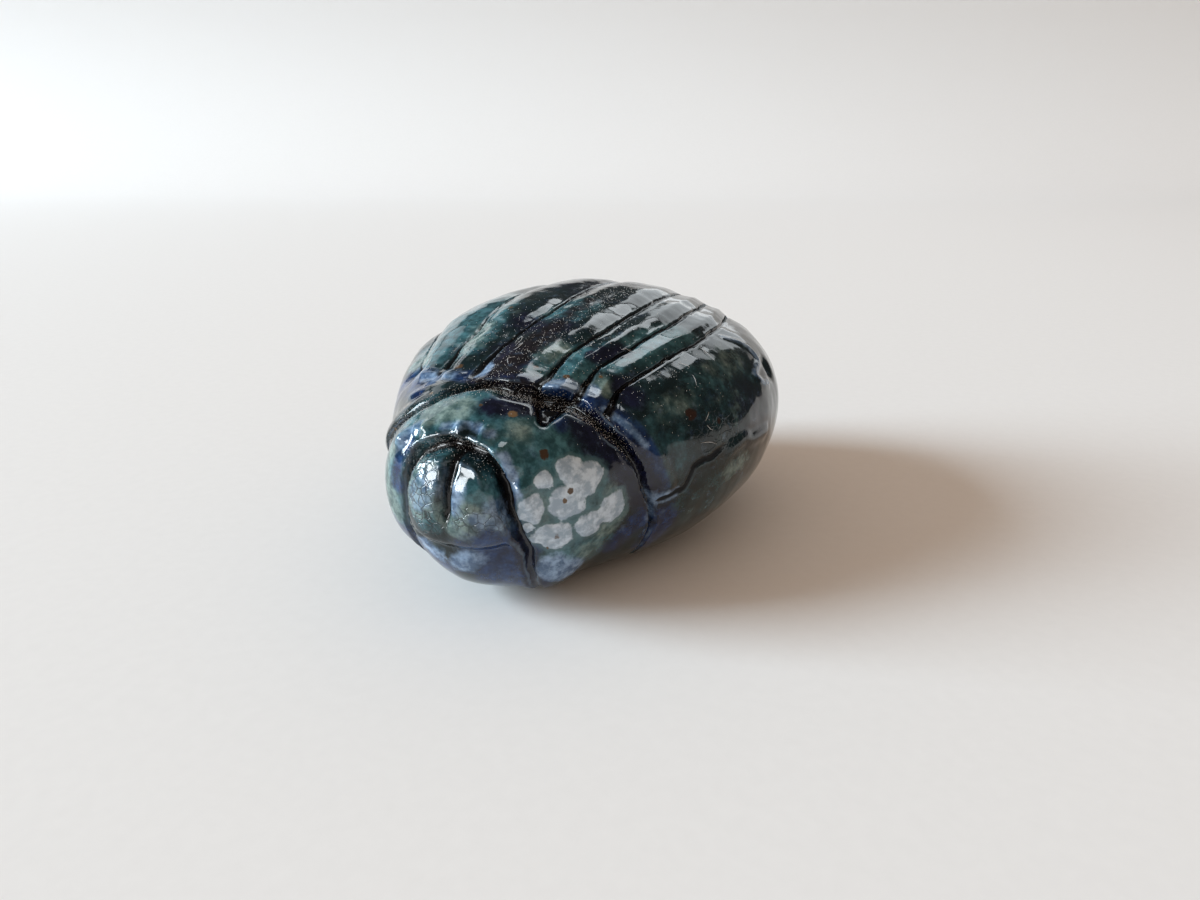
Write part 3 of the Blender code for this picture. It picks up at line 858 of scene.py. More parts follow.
@dataclass(frozen=True)
class GlazeFinish:
    """Thick glossy glaze: dark green, with pools, blisters, iron specks, crackle and dusty cuts. The cuts and
    the notch are painted black as shade, with the dark glaze pooled there; the milk pools and a few specks
    are partly painted highlights.
    """

    deep: Colour = (0.0030, 0.0090, 0.0095, 1.0)
    body: Colour = (0.0060, 0.0185, 0.0215, 1.0)
    blister_edge: Colour = (0.085, 0.165, 0.185, 1.0)
    blister_low: Colour = (0.300, 0.385, 0.475, 1.0)
    blister_high: Colour = (0.590, 0.690, 0.790, 1.0)
    crackle_ink: Colour = (0.010, 0.016, 0.022, 1.0)
    thin_rim: Colour = (0.130, 0.190, 0.260, 1.0)
    iron: Colour = (0.030, 0.012, 0.006, 1.0)
    buff: Colour = (0.200, 0.125, 0.062, 1.0)
    # Painted shade in the cuts and the notch, together with the dark glaze that pooled there: black, broken
    # by brown patches.
    pooled_glaze_and_shade_black: Colour = (0.0018, 0.0017, 0.0022, 1.0)
    pooled_glaze_and_shade_brown: Colour = (0.0060, 0.0038, 0.0034, 1.0)
    clay: Colour = (0.420, 0.330, 0.240, 1.0)
    clay_shade: Colour = (0.30, 0.23, 0.17, 1.0)
    colours: tuple[tuple[Pool, Colour, Colour], ...] = (
        (Pool.TEAL, (0.019, 0.066, 0.078, 1.0), (0.066, 0.180, 0.212, 1.0)),
        (Pool.SAGE, (0.055, 0.102, 0.100, 1.0), (0.215, 0.295, 0.275, 1.0)),
        (Pool.COBALT, (0.004, 0.013, 0.052, 1.0), (0.014, 0.045, 0.145, 1.0)),
        (Pool.NAVY, (0.0025, 0.0028, 0.0100, 1.0), (0.0075, 0.0085, 0.0280, 1.0)),
        (Pool.SOOT, (0.0045, 0.0036, 0.0042, 1.0), (0.015, 0.011, 0.014, 1.0)),
        # Milk: pale glaze, also used for painted highlights.
        (Pool.MILK, (0.066, 0.124, 0.225, 1.0), (0.280, 0.400, 0.570, 1.0)),
    )
    # For each kind of cut, the band of nearness over which it turns to painted shade, black with the pooled
    # glaze.
    cuts: tuple[tuple[Cut, CutLook], ...] = (
        (Cut.STRIPE, CutLook(0.35, (0.55, 1.15))),
        (Cut.BORDER, CutLook(0.60, (0.22, 0.68))),
        (Cut.HEAD, CutLook(0.60, (0.28, 0.74))),
        (Cut.MEDIAN, CutLook(0.50, (0.25, 0.80), pale_rim=False)),
        (Cut.CRACK, CutLook(0.25, (0.60, 1.05), dryness=1.0, pale_rim=False)),
    )
    grain_scale: float = 1300.0
    cloud_scale: float = 420.0
    cloud_band: Band = (0.35, 0.68)
    pool_scale: float = 700.0
    pool_scale_step: float = 90.0
    pool_breakup: float = 1.4
    pool_level: float = 1.15
    pool_band: Band = (-0.42, 0.45)
    pool_grain: Band = (0.36, 0.66)
    blister_scale: float = 1500.0
    blister_breakup: float = 0.55
    halo_band: Band = (-0.34, -0.04)
    halo_share: float = 0.60
    blister_grain: Band = (0.38, 0.64)
    blister_band: Band = (-0.02, 0.13)
    crackle_scale: float = 1500.0
    crackle_bend: float = 0.00045
    crackle_band: Band = (0.01, 0.075)
    crackle_share: float = 0.80
    crackle_depth: float = 0.000035
    rim_crest: float = 1.22
    rim_band: Band = (0.02, 0.26)
    rim_patch_scale: float = 480.0
    rim_patches: Band = (0.42, 0.62)
    rim_share: float = 0.55
    hollow_breakup: float = 0.6
    hollow_band: Band = (0.42, 0.85)
    cut_patch_scale: float = 520.0
    cut_patches: Band = (0.42, 0.60)
    speck_breakup: float = 4.0
    speck_band: Band = (-0.20, 0.60)
    foot_breakup: float = 0.5
    foot_band: Band = (0.55, 0.75)
    gloss: float = 0.075
    gloss_spread: float = 0.10
    gloss_grain: Band = (0.40, 0.80)
    cut_rough: float = 0.60
    foot_rough: float = 0.70
    wave_scale: float = 650.0
    wave_height: float = 0.00002
    pit_scale: float = 3800.0
    pit_height: float = 0.000003
    refraction: float = 1.55

    def build(self) -> bpy.types.Material:
        """Make the material."""
        tree = ShaderTree("glaze")
        grain = tree.noise(self.grain_scale, 5.0, rough=0.65)
        cloud = tree.noise(self.cloud_scale, 4.0, 0.013)
        colour = tree.mix(tree.step(cloud, *self.cloud_band), self.deep, self.body)
        for number, (pool, dark, light) in enumerate(self.colours):
            scale = self.pool_scale + self.pool_scale_step * number
            edge = tree.noise(scale, 5.0, 0.021 * (number + 1), 0.62)
            level = tree.math("SUBTRACT", tree.attribute(f"pool_{pool.value}"), self.pool_level)
            share = tree.step(tree.math("MULTIPLY_ADD", edge, self.pool_breakup, level), *self.pool_band)
            colour = tree.mix(share, colour, tree.mix(tree.step(grain, *self.pool_grain), dark, light))
        colour = self.add_blisters(tree, colour, grain)
        colour, crackle = self.add_crackle(tree, colour)
        colour, dull = self.add_cuts(tree, colour, grain)
        colour = self.add_specks(tree, colour, grain)
        foot = tree.math("MULTIPLY_ADD", grain, self.foot_breakup, tree.attribute("foot"))
        foot = tree.step(foot, *self.foot_band)
        colour = tree.mix(foot, colour, tree.mix(cloud, self.clay, self.clay_shade))
        rough = tree.math("MULTIPLY_ADD", tree.step(grain, *self.gloss_grain), self.gloss_spread, self.gloss)
        rough = tree.math("MULTIPLY_ADD", dull, self.cut_rough, rough)
        rough = tree.math("MULTIPLY_ADD", foot, self.foot_rough, rough, clamp=True)
        wave = tree.math("MULTIPLY", tree.noise(self.wave_scale, 2.0, 0.031), self.wave_height)
        pits = tree.math("MULTIPLY", tree.noise(self.pit_scale, 2.0, 0.017), self.pit_height)
        height = tree.math("ADD", wave, pits)
        height = tree.math("MULTIPLY_ADD", crackle, -self.crackle_depth, height)
        tree.finish(colour, rough, height, IOR=self.refraction)
        return tree.material

    def add_blisters(self, tree: ShaderTree, colour: Socket, grain: Socket) -> Socket:
        """Lay the pale blisters with their green edges over the glaze."""
        wobble = tree.math("SUBTRACT", tree.noise(self.blister_scale, 3.0, 0.007), 0.5)
        near = tree.math("MULTIPLY_ADD", wobble, self.blister_breakup, tree.attribute("blister"))
        halo = tree.math("MULTIPLY", tree.step(near, *self.halo_band), self.halo_share)
        colour = tree.mix(halo, colour, self.blister_edge)
        skin = tree.mix(tree.step(grain, *self.blister_grain), self.blister_low, self.blister_high)
        return tree.mix(tree.step(near, *self.blister_band), colour, skin)

    def add_crackle(self, tree: ShaderTree, colour: Socket) -> tuple[Socket, Socket]:
        """Darken the fine crackle lines in their zones, and return their depth share too."""
        inputs = {"Vector": tree.spot, "Scale": self.crackle_scale, "Detail": 2.0}
        bend = tree.add("ShaderNodeTexNoise", inputs, out="Color")
        shift = tree.add("ShaderNodeVectorMath", {0: bend, "Scale": self.crackle_bend}, operation="SCALE")
        where = tree.add("ShaderNodeVectorMath", {0: tree.spot, 1: shift}, operation="ADD")
        inputs = {"Vector": where, "Scale": self.crackle_scale}
        cells = tree.add("ShaderNodeTexVoronoi", inputs, out="Distance", feature="DISTANCE_TO_EDGE")
        line = tree.math("SUBTRACT", 1.0, tree.step(cells, *self.crackle_band))
        line = tree.math("MULTIPLY", line, tree.attribute("crackle"))
        return tree.mix(tree.math("MULTIPLY", line, self.crackle_share), colour, self.crackle_ink), line

    def add_cuts(self, tree: ShaderTree, colour: Socket, grain: Socket) -> tuple[Socket, Socket]:
        """Paint the cuts black as shade, together with the dark glaze pooled in them, pale their rims where
        the glaze ran thin, and return the dull share.
        """
        pooled_glaze_and_shade: Socket | None = None
        dull: Socket | None = None
        for kind, look in self.cuts:
            near = tree.attribute(f"near_{kind.name.lower()}")
            ragged = tree.math("MULTIPLY_ADD", tree.math("SUBTRACT", grain, 0.5), look.torn, near)
            inside = tree.math("SUBTRACT", 1.0, tree.step(ragged, *look.pooled_glaze_and_shade))
            dry = tree.math("MULTIPLY", inside, look.dryness)
            pooled_glaze_and_shade = inside if pooled_glaze_and_shade is None else tree.math("MAXIMUM", pooled_glaze_and_shade, inside)
            dull = dry if dull is None else tree.math("MAXIMUM", dull, dry)
            if look.pale_rim:
                crest = tree.math("ABSOLUTE", tree.math("SUBTRACT", ragged, self.rim_crest))
                thin = tree.math("SUBTRACT", 1.0, tree.step(crest, *self.rim_band))
                patchy = tree.step(tree.noise(self.rim_patch_scale, 3.0, 0.041), *self.rim_patches)
                thin = tree.math("MULTIPLY", tree.math("MULTIPLY", thin, patchy), self.rim_share)
                colour = tree.mix(thin, colour, self.thin_rim)
        # The notch's hollow is painted black as well: painted shade.
        hollow = tree.math("MULTIPLY_ADD", grain, self.hollow_breakup, tree.attribute("hollow"))
        pooled_glaze_and_shade = tree.math("MAXIMUM", pooled_glaze_and_shade, tree.step(hollow, *self.hollow_band))
        patches = tree.step(tree.noise(self.cut_patch_scale, 3.0, 0.047), *self.cut_patches)
        return tree.mix(pooled_glaze_and_shade, colour, tree.mix(patches, self.pooled_glaze_and_shade_black, self.pooled_glaze_and_shade_brown)), dull

    def add_specks(self, tree: ShaderTree, colour: Socket, grain: Socket) -> Socket:
        """Lay the brown and buff iron specks, and the buff painted glints among them, over the glaze."""
        ragged = tree.math("SUBTRACT", grain, 0.5)
        near = tree.math("MULTIPLY_ADD", ragged, self.speck_breakup, tree.attribute("speck"))
        tone = tree.mix(tree.attribute("speck_pale"), self.iron, self.buff)
        return tree.mix(tree.step(near, *self.speck_band), colour, tone)


@dataclass(frozen=True)
class PlainFinish:
    """Matte finish of the small things that lie on the glaze: one tone, broken up by a fine grain."""

    name: str
    low: Colour
    high: Colour
    roughness: float
    grain: float

    def build(self) -> bpy.types.Material:
        """Make the material."""
        tree = ShaderTree(self.name)
        tree.finish(tree.mix(tree.noise(self.grain, 3.0), self.low, self.high), self.roughness, None)
        return tree.material


class GeometryTree(Tree):
    """A Geometry Nodes group with named inputs and one geometry output."""

    def __init__(self, name: str) -> None:
        """Make the group with its geometry sockets."""
        group = bpy.data.node_groups.new(name, "GeometryNodeTree")
        super().__init__(group)
        group.interface.new_socket("Geometry", in_out="INPUT", socket_type="NodeSocketGeometry")
        group.interface.new_socket("Geometry", in_out="OUTPUT", socket_type="NodeSocketGeometry")
        self.identifiers: dict[str, str] = {}
        self.start = group.nodes.new("NodeGroupInput")
        self.end = group.nodes.new("NodeGroupOutput")

    def named_input(self, name: str, kind: str, default: float | int | None = None) -> Socket:
        """Add a named input and return its socket inside the group."""
        item = self.tree.interface.new_socket(name, in_out="INPUT", socket_type=kind)
        if default is not None:
            item.default_value = default
        self.identifiers[name] = item.identifier
        return self.start.outputs[name]

    def attribute(self, name: str) -> Socket:
        """Value that the mesh stores at its points."""
        return self.add("GeometryNodeInputNamedAttribute", {"Name": name}, data_type="FLOAT")

    def finish(self, geometry: Socket, material: bpy.types.Material) -> None:
        """End the tree in realised instances with the material set."""
        solid = self.add("GeometryNodeRealizeInstances", {"Geometry": geometry})
        dressed = self.add("GeometryNodeSetMaterial", {"Geometry": solid, "Material": material})
        self.tree.links.new(dressed, self.end.inputs["Geometry"])

    def apply(self, piece: bpy.types.Object, values: dict[str, object]) -> bpy.types.Mesh:
        """Run the tree on an object and return the plain mesh that it makes.

        Args:
            piece: The object whose mesh goes in. Its modifier is removed again.
            values: Values of the named inputs.

        Returns:
            A new mesh without modifiers.
        """
        modifier = piece.modifiers.new(self.tree.name, "NODES")
        modifier.node_group = self.tree
        for name, value in values.items():
            modifier[self.identifiers[name]] = value
        piece.update_tag()
        scene_graph = bpy.context.evaluated_depsgraph_get()
        scene_graph.update()
        mesh = bpy.data.meshes.new_from_object(piece.evaluated_get(scene_graph), depsgraph=scene_graph)
        piece.modifiers.remove(modifier)
        return mesh


class CarvingTree(GeometryTree):
    """Cuts every kind of line into the body and keeps how near each point is to each kind."""

    USUAL_SIZE: float = 0.0005
    LUMPS_SCALE: float = 210.0
    BURR_SCALE: float = 900.0
    BURR_SPREAD: float = 2.4
    BURR_LEVEL: float = -0.35
    BURR_CREST: float = 1.15
    WALL_POWER: float = 1.6
    BOWL_POWER: float = 1.25
    NARROWEST: float = 1e-6
    FADED_SHARE: float = 0.8
    FARTHEST: float = 6.0

    def __init__(self, material: bpy.types.Material) -> None:
        """Build the tree, with a cutter and sizes for each kind of cut."""
        super().__init__("carve scarab")
        geometry = self.start.outputs["Geometry"]
        centre = self.named_input("Star centre", "NodeSocketVector")
        position = self.add("GeometryNodeInputPosition")
        offset = self.add("ShaderNodeVectorMath", {0: position, 1: centre}, operation="SUBTRACT")
        ray = self.add("ShaderNodeVectorMath", {0: offset}, operation="NORMALIZE")
        relief = self.attribute("soft_relief")
        uneven = self.named_input("Unevenness", "NodeSocketFloat", 0.0001)
        lumps = self.add("ShaderNodeTexNoise", {
            "Vector": position, "Scale": self.LUMPS_SCALE, "Detail": 2.5, "Roughness": 0.45,
        })
        relief = self.math("ADD", relief, self.math("MULTIPLY", self.math("SUBTRACT", lumps, 0.5), uneven))
        deepest: Socket | None = None
        for kind in Cut:
            geometry, depth, rim = self.one_cut(kind, geometry, position)
            deepest = depth if deepest is None else self.math("MAXIMUM", deepest, depth)
            relief = self.math("ADD", relief, rim)
        relief = self.math("SUBTRACT", relief, deepest)
        move = self.add("ShaderNodeVectorMath", {0: ray, "Scale": relief}, operation="SCALE")
        self.finish(self.add("GeometryNodeSetPosition", {"Geometry": geometry, "Offset": move}), material)

    def one_cut(self, kind: Cut, geometry: Socket, position: Socket) -> tuple[Socket, Socket, Socket]:
        """Nodes for one kind of cut.

        Args:
            kind: The kind of cut.
            geometry: The body so far.
            position: The plain surface's positions.

        Returns:
            The body with the kind's nearness stored, the cut's depth, and the height of its rim.
        """
        label = kind.value
        cutter = self.named_input(f"{label} lines", "NodeSocketObject")
        width, depth, burr, burr_width, shoulder, shoulder_reach = (
            self.named_input(f"{label} {part}", "NodeSocketFloat", self.USUAL_SIZE) for part in CUT_PARTS
        )
        lines = self.add("GeometryNodeObjectInfo", {"Object": cutter}, out="Geometry")
        gap = {"Geometry": lines}
        distance = self.add("GeometryNodeProximity", gap, out="Distance", target_element="EDGES")
        nearest = self.add("GeometryNodeSampleNearest", {"Geometry": lines, "Sample Position": position})
        shares = {}
        for name in ("swell", "deep"):
            sample = {"Geometry": lines, "Value": self.attribute(name), "Index": nearest}
            shares[name] = self.add("GeometryNodeSampleIndex", sample, data_type="FLOAT", domain="POINT")
        half = self.math("MULTIPLY", self.math("MULTIPLY", width, 0.5), shares["swell"])
        ratio = self.math("DIVIDE", distance, self.math("MAXIMUM", half, self.NARROWEST))
        inside = self.math("SUBTRACT", 1.0, self.math("POWER", ratio, self.WALL_POWER), clamp=True)
        bowl = self.math("POWER", inside, self.BOWL_POWER)
        cut_depth = self.math("MULTIPLY", self.math("MULTIPLY", depth, shares["deep"]), bowl)
        rough = self.add("ShaderNodeTexNoise", {"Vector": position, "Scale": self.BURR_SCALE, "Detail": 2.0})
        rough = self.math("MULTIPLY_ADD", rough, self.BURR_SPREAD, self.BURR_LEVEL)
        height = self.math("MULTIPLY", burr, rough)
        crest_at = self.math("MULTIPLY", half, self.BURR_CREST)
        away = self.math("ABSOLUTE", self.math("SUBTRACT", distance, crest_at))
        crest = self.math("SUBTRACT", 1.0, self.math("DIVIDE", away, burr_width), clamp=True)
        crest = self.math("MULTIPLY", crest, self.math("MULTIPLY", crest, shares["deep"]))
        rim = self.math("MULTIPLY", height, crest)
        fall = self.math("DIVIDE", distance, shoulder_reach)
        fall = self.math("EXPONENT", self.math("MULTIPLY", self.math("MULTIPLY", fall, fall), -1.0))
        sunk = self.math("MULTIPLY", self.math("MULTIPLY", shoulder, shares["deep"]), fall)
        rim = self.math("SUBTRACT", rim, sunk)
        shallow = self.math("SUBTRACT", 1.0, shares["deep"], clamp=True)
        faded = self.math("MULTIPLY", shallow, self.FADED_SHARE)
        near = self.math("MINIMUM", self.math("ADD", ratio, faded), self.FARTHEST)
        store = {"Geometry": geometry, "Name": f"near_{kind.name.lower()}", "Value": near}
        stored = self.add("GeometryNodeStoreNamedAttribute", store, data_type="FLOAT", domain="POINT")
        return stored, cut_depth, rim


@dataclass
class ScarabBody:
    """The whole fired body: soft forms, cuts and glaze blisters, as one fine mesh."""

    form: BodyForm
    lines: ClayLines
    cells: int = 126
    grid_lift: float = 0.30
    foot_blend: float = 0.0006
    unevenness: float = 0.00045
    stripe_mouth: float = 1.80
    stripe_narrowing: float = 0.95
    stripe_deepest: float = 1.3
    mouth_end: float = 0.20
    end_taper: float = 0.12
    speck_floor: float = -4.0
    speck_tone_from: float = -3.9
    border_dust_reach: float = 0.0014
    head_dust_reach: float = 0.0013
    dusty_suture: int = 60
    suture_dust: float = 0.38
    suture_dust_reach: float = 0.0022
    dusty_from: Band = (0.50, 0.75)
    foot_from: Band = (0.0002, 0.0010)
    dusty_spots: tuple[Zone, ...] = (
        Zone(((0.12, -0.40, 0.88),), 0.011, 0.20),
        Zone(((0.55, -0.30, 0.83),), 0.009, 0.12),
    )
    crackled: tuple[Zone, ...] = (
        Zone(((-0.07, -0.95, 0.60), (-0.05, -0.99, 0.42)), 0.0024),
        Zone(((0.13, -0.97, 0.44), (0.24, -0.93, 0.42)), 0.0018, 0.8),
        Zone(((0.88, -0.25, 0.60), (0.93, -0.10, 0.42)), 0.003, 0.35),
    )
    sizes: dict[Cut, CutSize] = field(default_factory=lambda: {
        Cut.STRIPE: CutSize(0.00046, 0.00036, 0.00004, 0.00024, 0.00005, 0.00048, 0.0013),
        Cut.SUTURE: CutSize(0.00420, 0.00014, 0.00000, 0.00060, 0.00008),
        Cut.BORDER: CutSize(0.00215, 0.00115, 0.00012, 0.00045, 0.00008),
        Cut.HEAD: CutSize(0.00210, 0.00160, 0.00022, 0.00055, 0.00010),
        Cut.MEDIAN: CutSize(0.00095, 0.00080, 0.00006, 0.00040, 0.00005),
        Cut.CREASE: CutSize(0.00150, 0.00030, 0.00004, 0.00050, 0.00010),
        Cut.CRACK: CutSize(0.00060, 0.00022, 0.00008, 0.00036, 0.00010),
    })

    def grid(self) -> tuple[np.ndarray, list[tuple[int, int, int, int]]]:
        """Rays and quads of a cube's grid that looks outward from the centre."""
        steps = self.cells
        lookup: dict[tuple[int, int, int], int] = {}
        corners: list[tuple[int, int, int]] = []
        quads: list[tuple[int, int, int, int]] = []

        def corner(key: tuple[int, int, int]) -> int:
            """Number of a grid point, made on its first use."""
            if key not in lookup:
                lookup[key] = len(corners)
                corners.append(key)
            return lookup[key]

        for axis in range(3):
            for level in (0, steps):
                for u in range(steps):
                    for v in range(steps):
                        ring = []
                        for du, dv in ((0, 0), (1, 0), (1, 1), (0, 1)):
                            key = [0, 0, 0]
                            key[axis], key[(axis + 1) % 3], key[(axis + 2) % 3] = level, u + du, v + dv
                            ring.append(corner(tuple(key)))
                        quads.append(tuple(ring if level else reversed(ring)))
        rays = np.tan((np.array(corners) / steps * 2 - 1) * math.pi / 4)
        rays[:, 2] += self.grid_lift
        return rays / np.linalg.norm(rays, axis=1, keepdims=True), quads

    def cutters(self) -> dict[Cut, bpy.types.Object]:
        """The line objects of every kind of cut."""
        made: dict[Cut, bpy.types.Object] = {}
        for kind in Cut:
            guide = CutterLines(kind, self.form, self.sizes[kind].waver)
            for line, swell, deep in self.shares(kind):
                guide.add(line, swell, deep)
            made[kind] = guide.build()
        return made

    def shares(self, kind: Cut) -> Iterable[tuple[np.ndarray, np.ndarray, np.ndarray]]:
        """Lines of one kind, each with its width and depth shares along it."""
        lines, form = self.lines, self.form
        if kind is Cut.STRIPE:
            for across in lines.stripes_at_border:
                line = lines.stripe(across)
                share = np.linspace(0, 1, len(line))
                swell = self.stripe_mouth - self.stripe_narrowing * smooth_step(share, 0.0, self.mouth_end)
                fade = smooth_step(1 - share, 0.0, self.end_taper)
                yield line, swell, fade * np.minimum(swell, self.stripe_deepest)
            return
        places = {
            Cut.SUTURE: None, Cut.BORDER: lines.border, Cut.HEAD: lines.head, Cut.MEDIAN: lines.median,
            Cut.CREASE: lines.crease, Cut.CRACK: lines.crack,
        }[kind]
        line = lines.stripe(lines.suture_at_border) if places is None else form.line(places)
        share = np.linspace(0, 1, len(line))
        course = COURSES.get(kind)
        if course is not None:
            swell = np.interp(share, course.steps, course.swell)
            yield line, swell, np.interp(share, course.steps, course.deep)
        elif kind is Cut.SUTURE:
            yield line, 1.0 - 0.3 * share, 1.0 - 0.4 * share
        else:
            taper = smooth_step(np.minimum(share, 1 - share), 0.0, self.end_taper)
            yield line, 0.5 + 0.5 * taper, 0.3 + 0.7 * taper

    def build(self, material: bpy.types.Material) -> bpy.types.Object:
        """Build the body's mesh.

        Args:
            material: The glaze.

        Returns:
            The finished piece at the origin.
        """
        rays, quads = self.grid()
        plain = self.form.centre + rays * self.form.radius(rays)[:, None]
        mesh = bpy.data.meshes.new("scarab plain")
        mesh.from_pydata(plain.tolist(), [], quads)
        blisters = BlisterPatch(self.form)
        fields = self.paint(plain, blisters.nearness(plain))
        relief = SoftForms(self.lines).relief(plain) + blisters.relief(plain)
        fields["soft_relief"] = relief + TornRim().relief(self.form, plain)
        for name, values in fields.items():
            mesh.attributes.new(name, "FLOAT", "POINT").data.foreach_set("value", values)
        piece = placed("scarab_body", mesh)
        guides = self.cutters()
        tree = CarvingTree(material)
        values: dict[str, object] = {"Star centre": tuple(self.form.centre), "Unevenness": self.unevenness}
        for kind, size in self.sizes.items():
            values[f"{kind.value} lines"] = guides[kind]
            for part in CUT_PARTS:
                values[f"{kind.value} {part}"] = getattr(size, part.replace(" ", "_"))
        carved = tree.apply(piece, values)
        piece.data = carved
        for guide in guides.values():
            bpy.data.objects.remove(guide)
        points = np.empty(len(carved.vertices) * 3)
        carved.vertices.foreach_get("co", points)
        carved.vertices.foreach_set("co", self.settle(points.reshape(-1, 3)).ravel())
        carved.shade_smooth()
        return piece

    def paint(self, points: np.ndarray, blister: np.ndarray) -> dict[str, np.ndarray]:
        """Values that the glaze reads from the mesh.

        Args:
            points: Points of the plain surface in metres.
            blister: How far inside a blister each point is.

        Returns:
            One array for each attribute name.
        """
        form = self.form
        fields = {f"pool_{kind.value}": np.zeros(len(points)) for kind in Pool}
        for pool in POOLS:
            name = f"pool_{pool.kind.value}"
            fields[name] = np.maximum(fields[name], pool.mask(form, points))
        speck, pale = np.full(len(points), self.speck_floor), np.zeros(len(points))
        for spot in SPECKS:
            near = 1 - (np.linalg.norm(points - form.spot(spot.place), axis=1) / spot.radius) ** 2
            speck = np.maximum(speck, near)
            pale = np.where(near > self.speck_tone_from, spot.pale, pale)
        fields["blister"] = blister
        fields["speck"] = speck
        fields["speck_pale"] = pale
        fields["crackle"] = np.maximum.reduce([zone.mask(form, points) for zone in self.crackled])
        # The notch's depth share, which the glaze reads to paint shade into the notch.
        fields["hollow"] = SoftForms(self.lines).notch(points)
        fields["foot"] = smooth_step(-points[:, 2], *self.foot_from)
        fields["dust"] = self.dust(points)
        return fields

    def dust(self, points: np.ndarray) -> np.ndarray:
        """How thickly the dust lies at each point: in the grooves, along the suture and on the crown."""
        lines = self.lines
        zones = (Zone(lines.border, self.border_dust_reach), Zone(lines.head[3:7], self.head_dust_reach))
        masks = [zone.mask(self.form, points) for zone in zones + self.dusty_spots]
        suture = lines.stripe(lines.suture_at_border)[:self.dusty_suture]
        masks.append(self.suture_dust * hump(distance_to(points, suture)[0], self.suture_dust_reach))
        return np.maximum.reduce(masks) * smooth_step(points[:, 2] / self.form.height, *self.dusty_from)

    def settle(self, points: np.ndarray) -> np.ndarray:
        """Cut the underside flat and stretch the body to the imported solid's box."""
        level, blend = points[:, 2], self.foot_blend
        bend = (level + blend) ** 2 / (4 * blend)
        points[:, 2] = np.where(level < -blend, 0, np.where(level > blend, level, bend))
        low, high = points.min(axis=0), points.max(axis=0)
        box_low, box_high = (np.array(corner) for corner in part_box(NODE))
        return box_low + (points - low) * (box_high - box_low) / (high - low)


class DustTree(GeometryTree):
    """Scatters small uneven grains over a surface, as thickly as its dust attribute says."""

    SMALLEST: Place = (0.45, 0.40, 0.35)
    LARGEST: Place = (1.15, 0.95, 0.85)
    SIZE_SEED: int = 5
    TURN: float = 6.28
    TURN_SEED: int = 9

    def __init__(self, material: bpy.types.Material) -> None:
        """Build the tree."""
        super().__init__("scatter dust")
        density = self.named_input("Grains per square metre", "NodeSocketFloat", 1e6)
        radius = self.named_input("Grain radius", "NodeSocketFloat", 0.00004)
        seed = self.named_input("Seed", "NodeSocketInt", 0)
        thickness = self.math("MULTIPLY", self.attribute("dust"), density)
        spread = self.add("GeometryNodeDistributePointsOnFaces", {
            "Mesh": self.start.outputs["Geometry"], "Density": thickness, "Seed": seed,
        })
        grain = self.add("GeometryNodeMeshIcoSphere", {"Radius": 1.0, "Subdivisions": 1})
        size = {"Min": self.SMALLEST, "Max": self.LARGEST, "Seed": self.SIZE_SEED}
        size = self.add("FunctionNodeRandomValue", size, data_type="FLOAT_VECTOR")
        size = self.add("ShaderNodeVectorMath", {0: size, "Scale": radius}, operation="SCALE")
        turn = {"Min": (0.0, 0.0, 0.0), "Max": (self.TURN,) * 3, "Seed": self.TURN_SEED}
        turn = self.add("FunctionNodeRandomValue", turn, data_type="FLOAT_VECTOR")
        turn = self.add("FunctionNodeEulerToRotation", {"Euler": turn})
        scattered = self.add("GeometryNodeInstanceOnPoints", {
            "Points": spread, "Instance": grain, "Rotation": turn, "Scale": size,
        })
        self.finish(scattered, material)


@dataclass
class DustFall:
    """White dust that lies in the cuts and over the crown."""

    body: bpy.types.Object
    density: float = 3.0e7
    grain_radius: float = 0.000039
    seed: int = 7

    def build(self, material: bpy.types.Material) -> bpy.types.Object:
        """Scatter the grains over a copy of the body's surface and keep only them."""
        piece = placed("dust_specks", self.body.data.copy())
        piece.data = DustTree(material).apply(piece, {
            "Grains per square metre": self.density, "Grain radius": self.grain_radius, "Seed": self.seed,
        })
        return piece


class FibreTree(GeometryTree):
    """Turns guide lines into round fibres that thin out towards their ends."""

    TIP_SHARE: float = 0.4

    def __init__(self, material: bpy.types.Material) -> None:
        """Build the tree."""
        super().__init__("round fibres")
        radius = self.named_input("Fibre radius", "NodeSocketFloat", 0.00003)
        sides = self.named_input("Sides", "NodeSocketInt", 6)
        curve = self.add("GeometryNodeMeshToCurve", {"Mesh": self.start.outputs["Geometry"]})
        share = self.add("GeometryNodeSplineParameter", out="Factor")
        from_middle = self.math("ABSOLUTE", self.math("MULTIPLY_ADD", share, 2.0, -1.0))
        middle = self.math("SUBTRACT", 1.0, from_middle)
        thick = self.math("MULTIPLY_ADD", middle, 1.0 - self.TIP_SHARE, self.TIP_SHARE)
        thick = self.math("MULTIPLY", radius, thick)
        ring = self.add("GeometryNodeCurvePrimitiveCircle", {"Resolution": sides, "Radius": 1.0})
        sweep = {"Curve": curve, "Profile Curve": ring, "Scale": thick, "Fill Caps": True}
        self.finish(self.add("GeometryNodeCurveToMesh", sweep), material)


@dataclass(frozen=True)
class Fibre:
    """One lint fibre: places on the body that it passes over, and how far it stands off at its middle."""

    path: tuple[Place, ...]
    rise: float = 0.00012


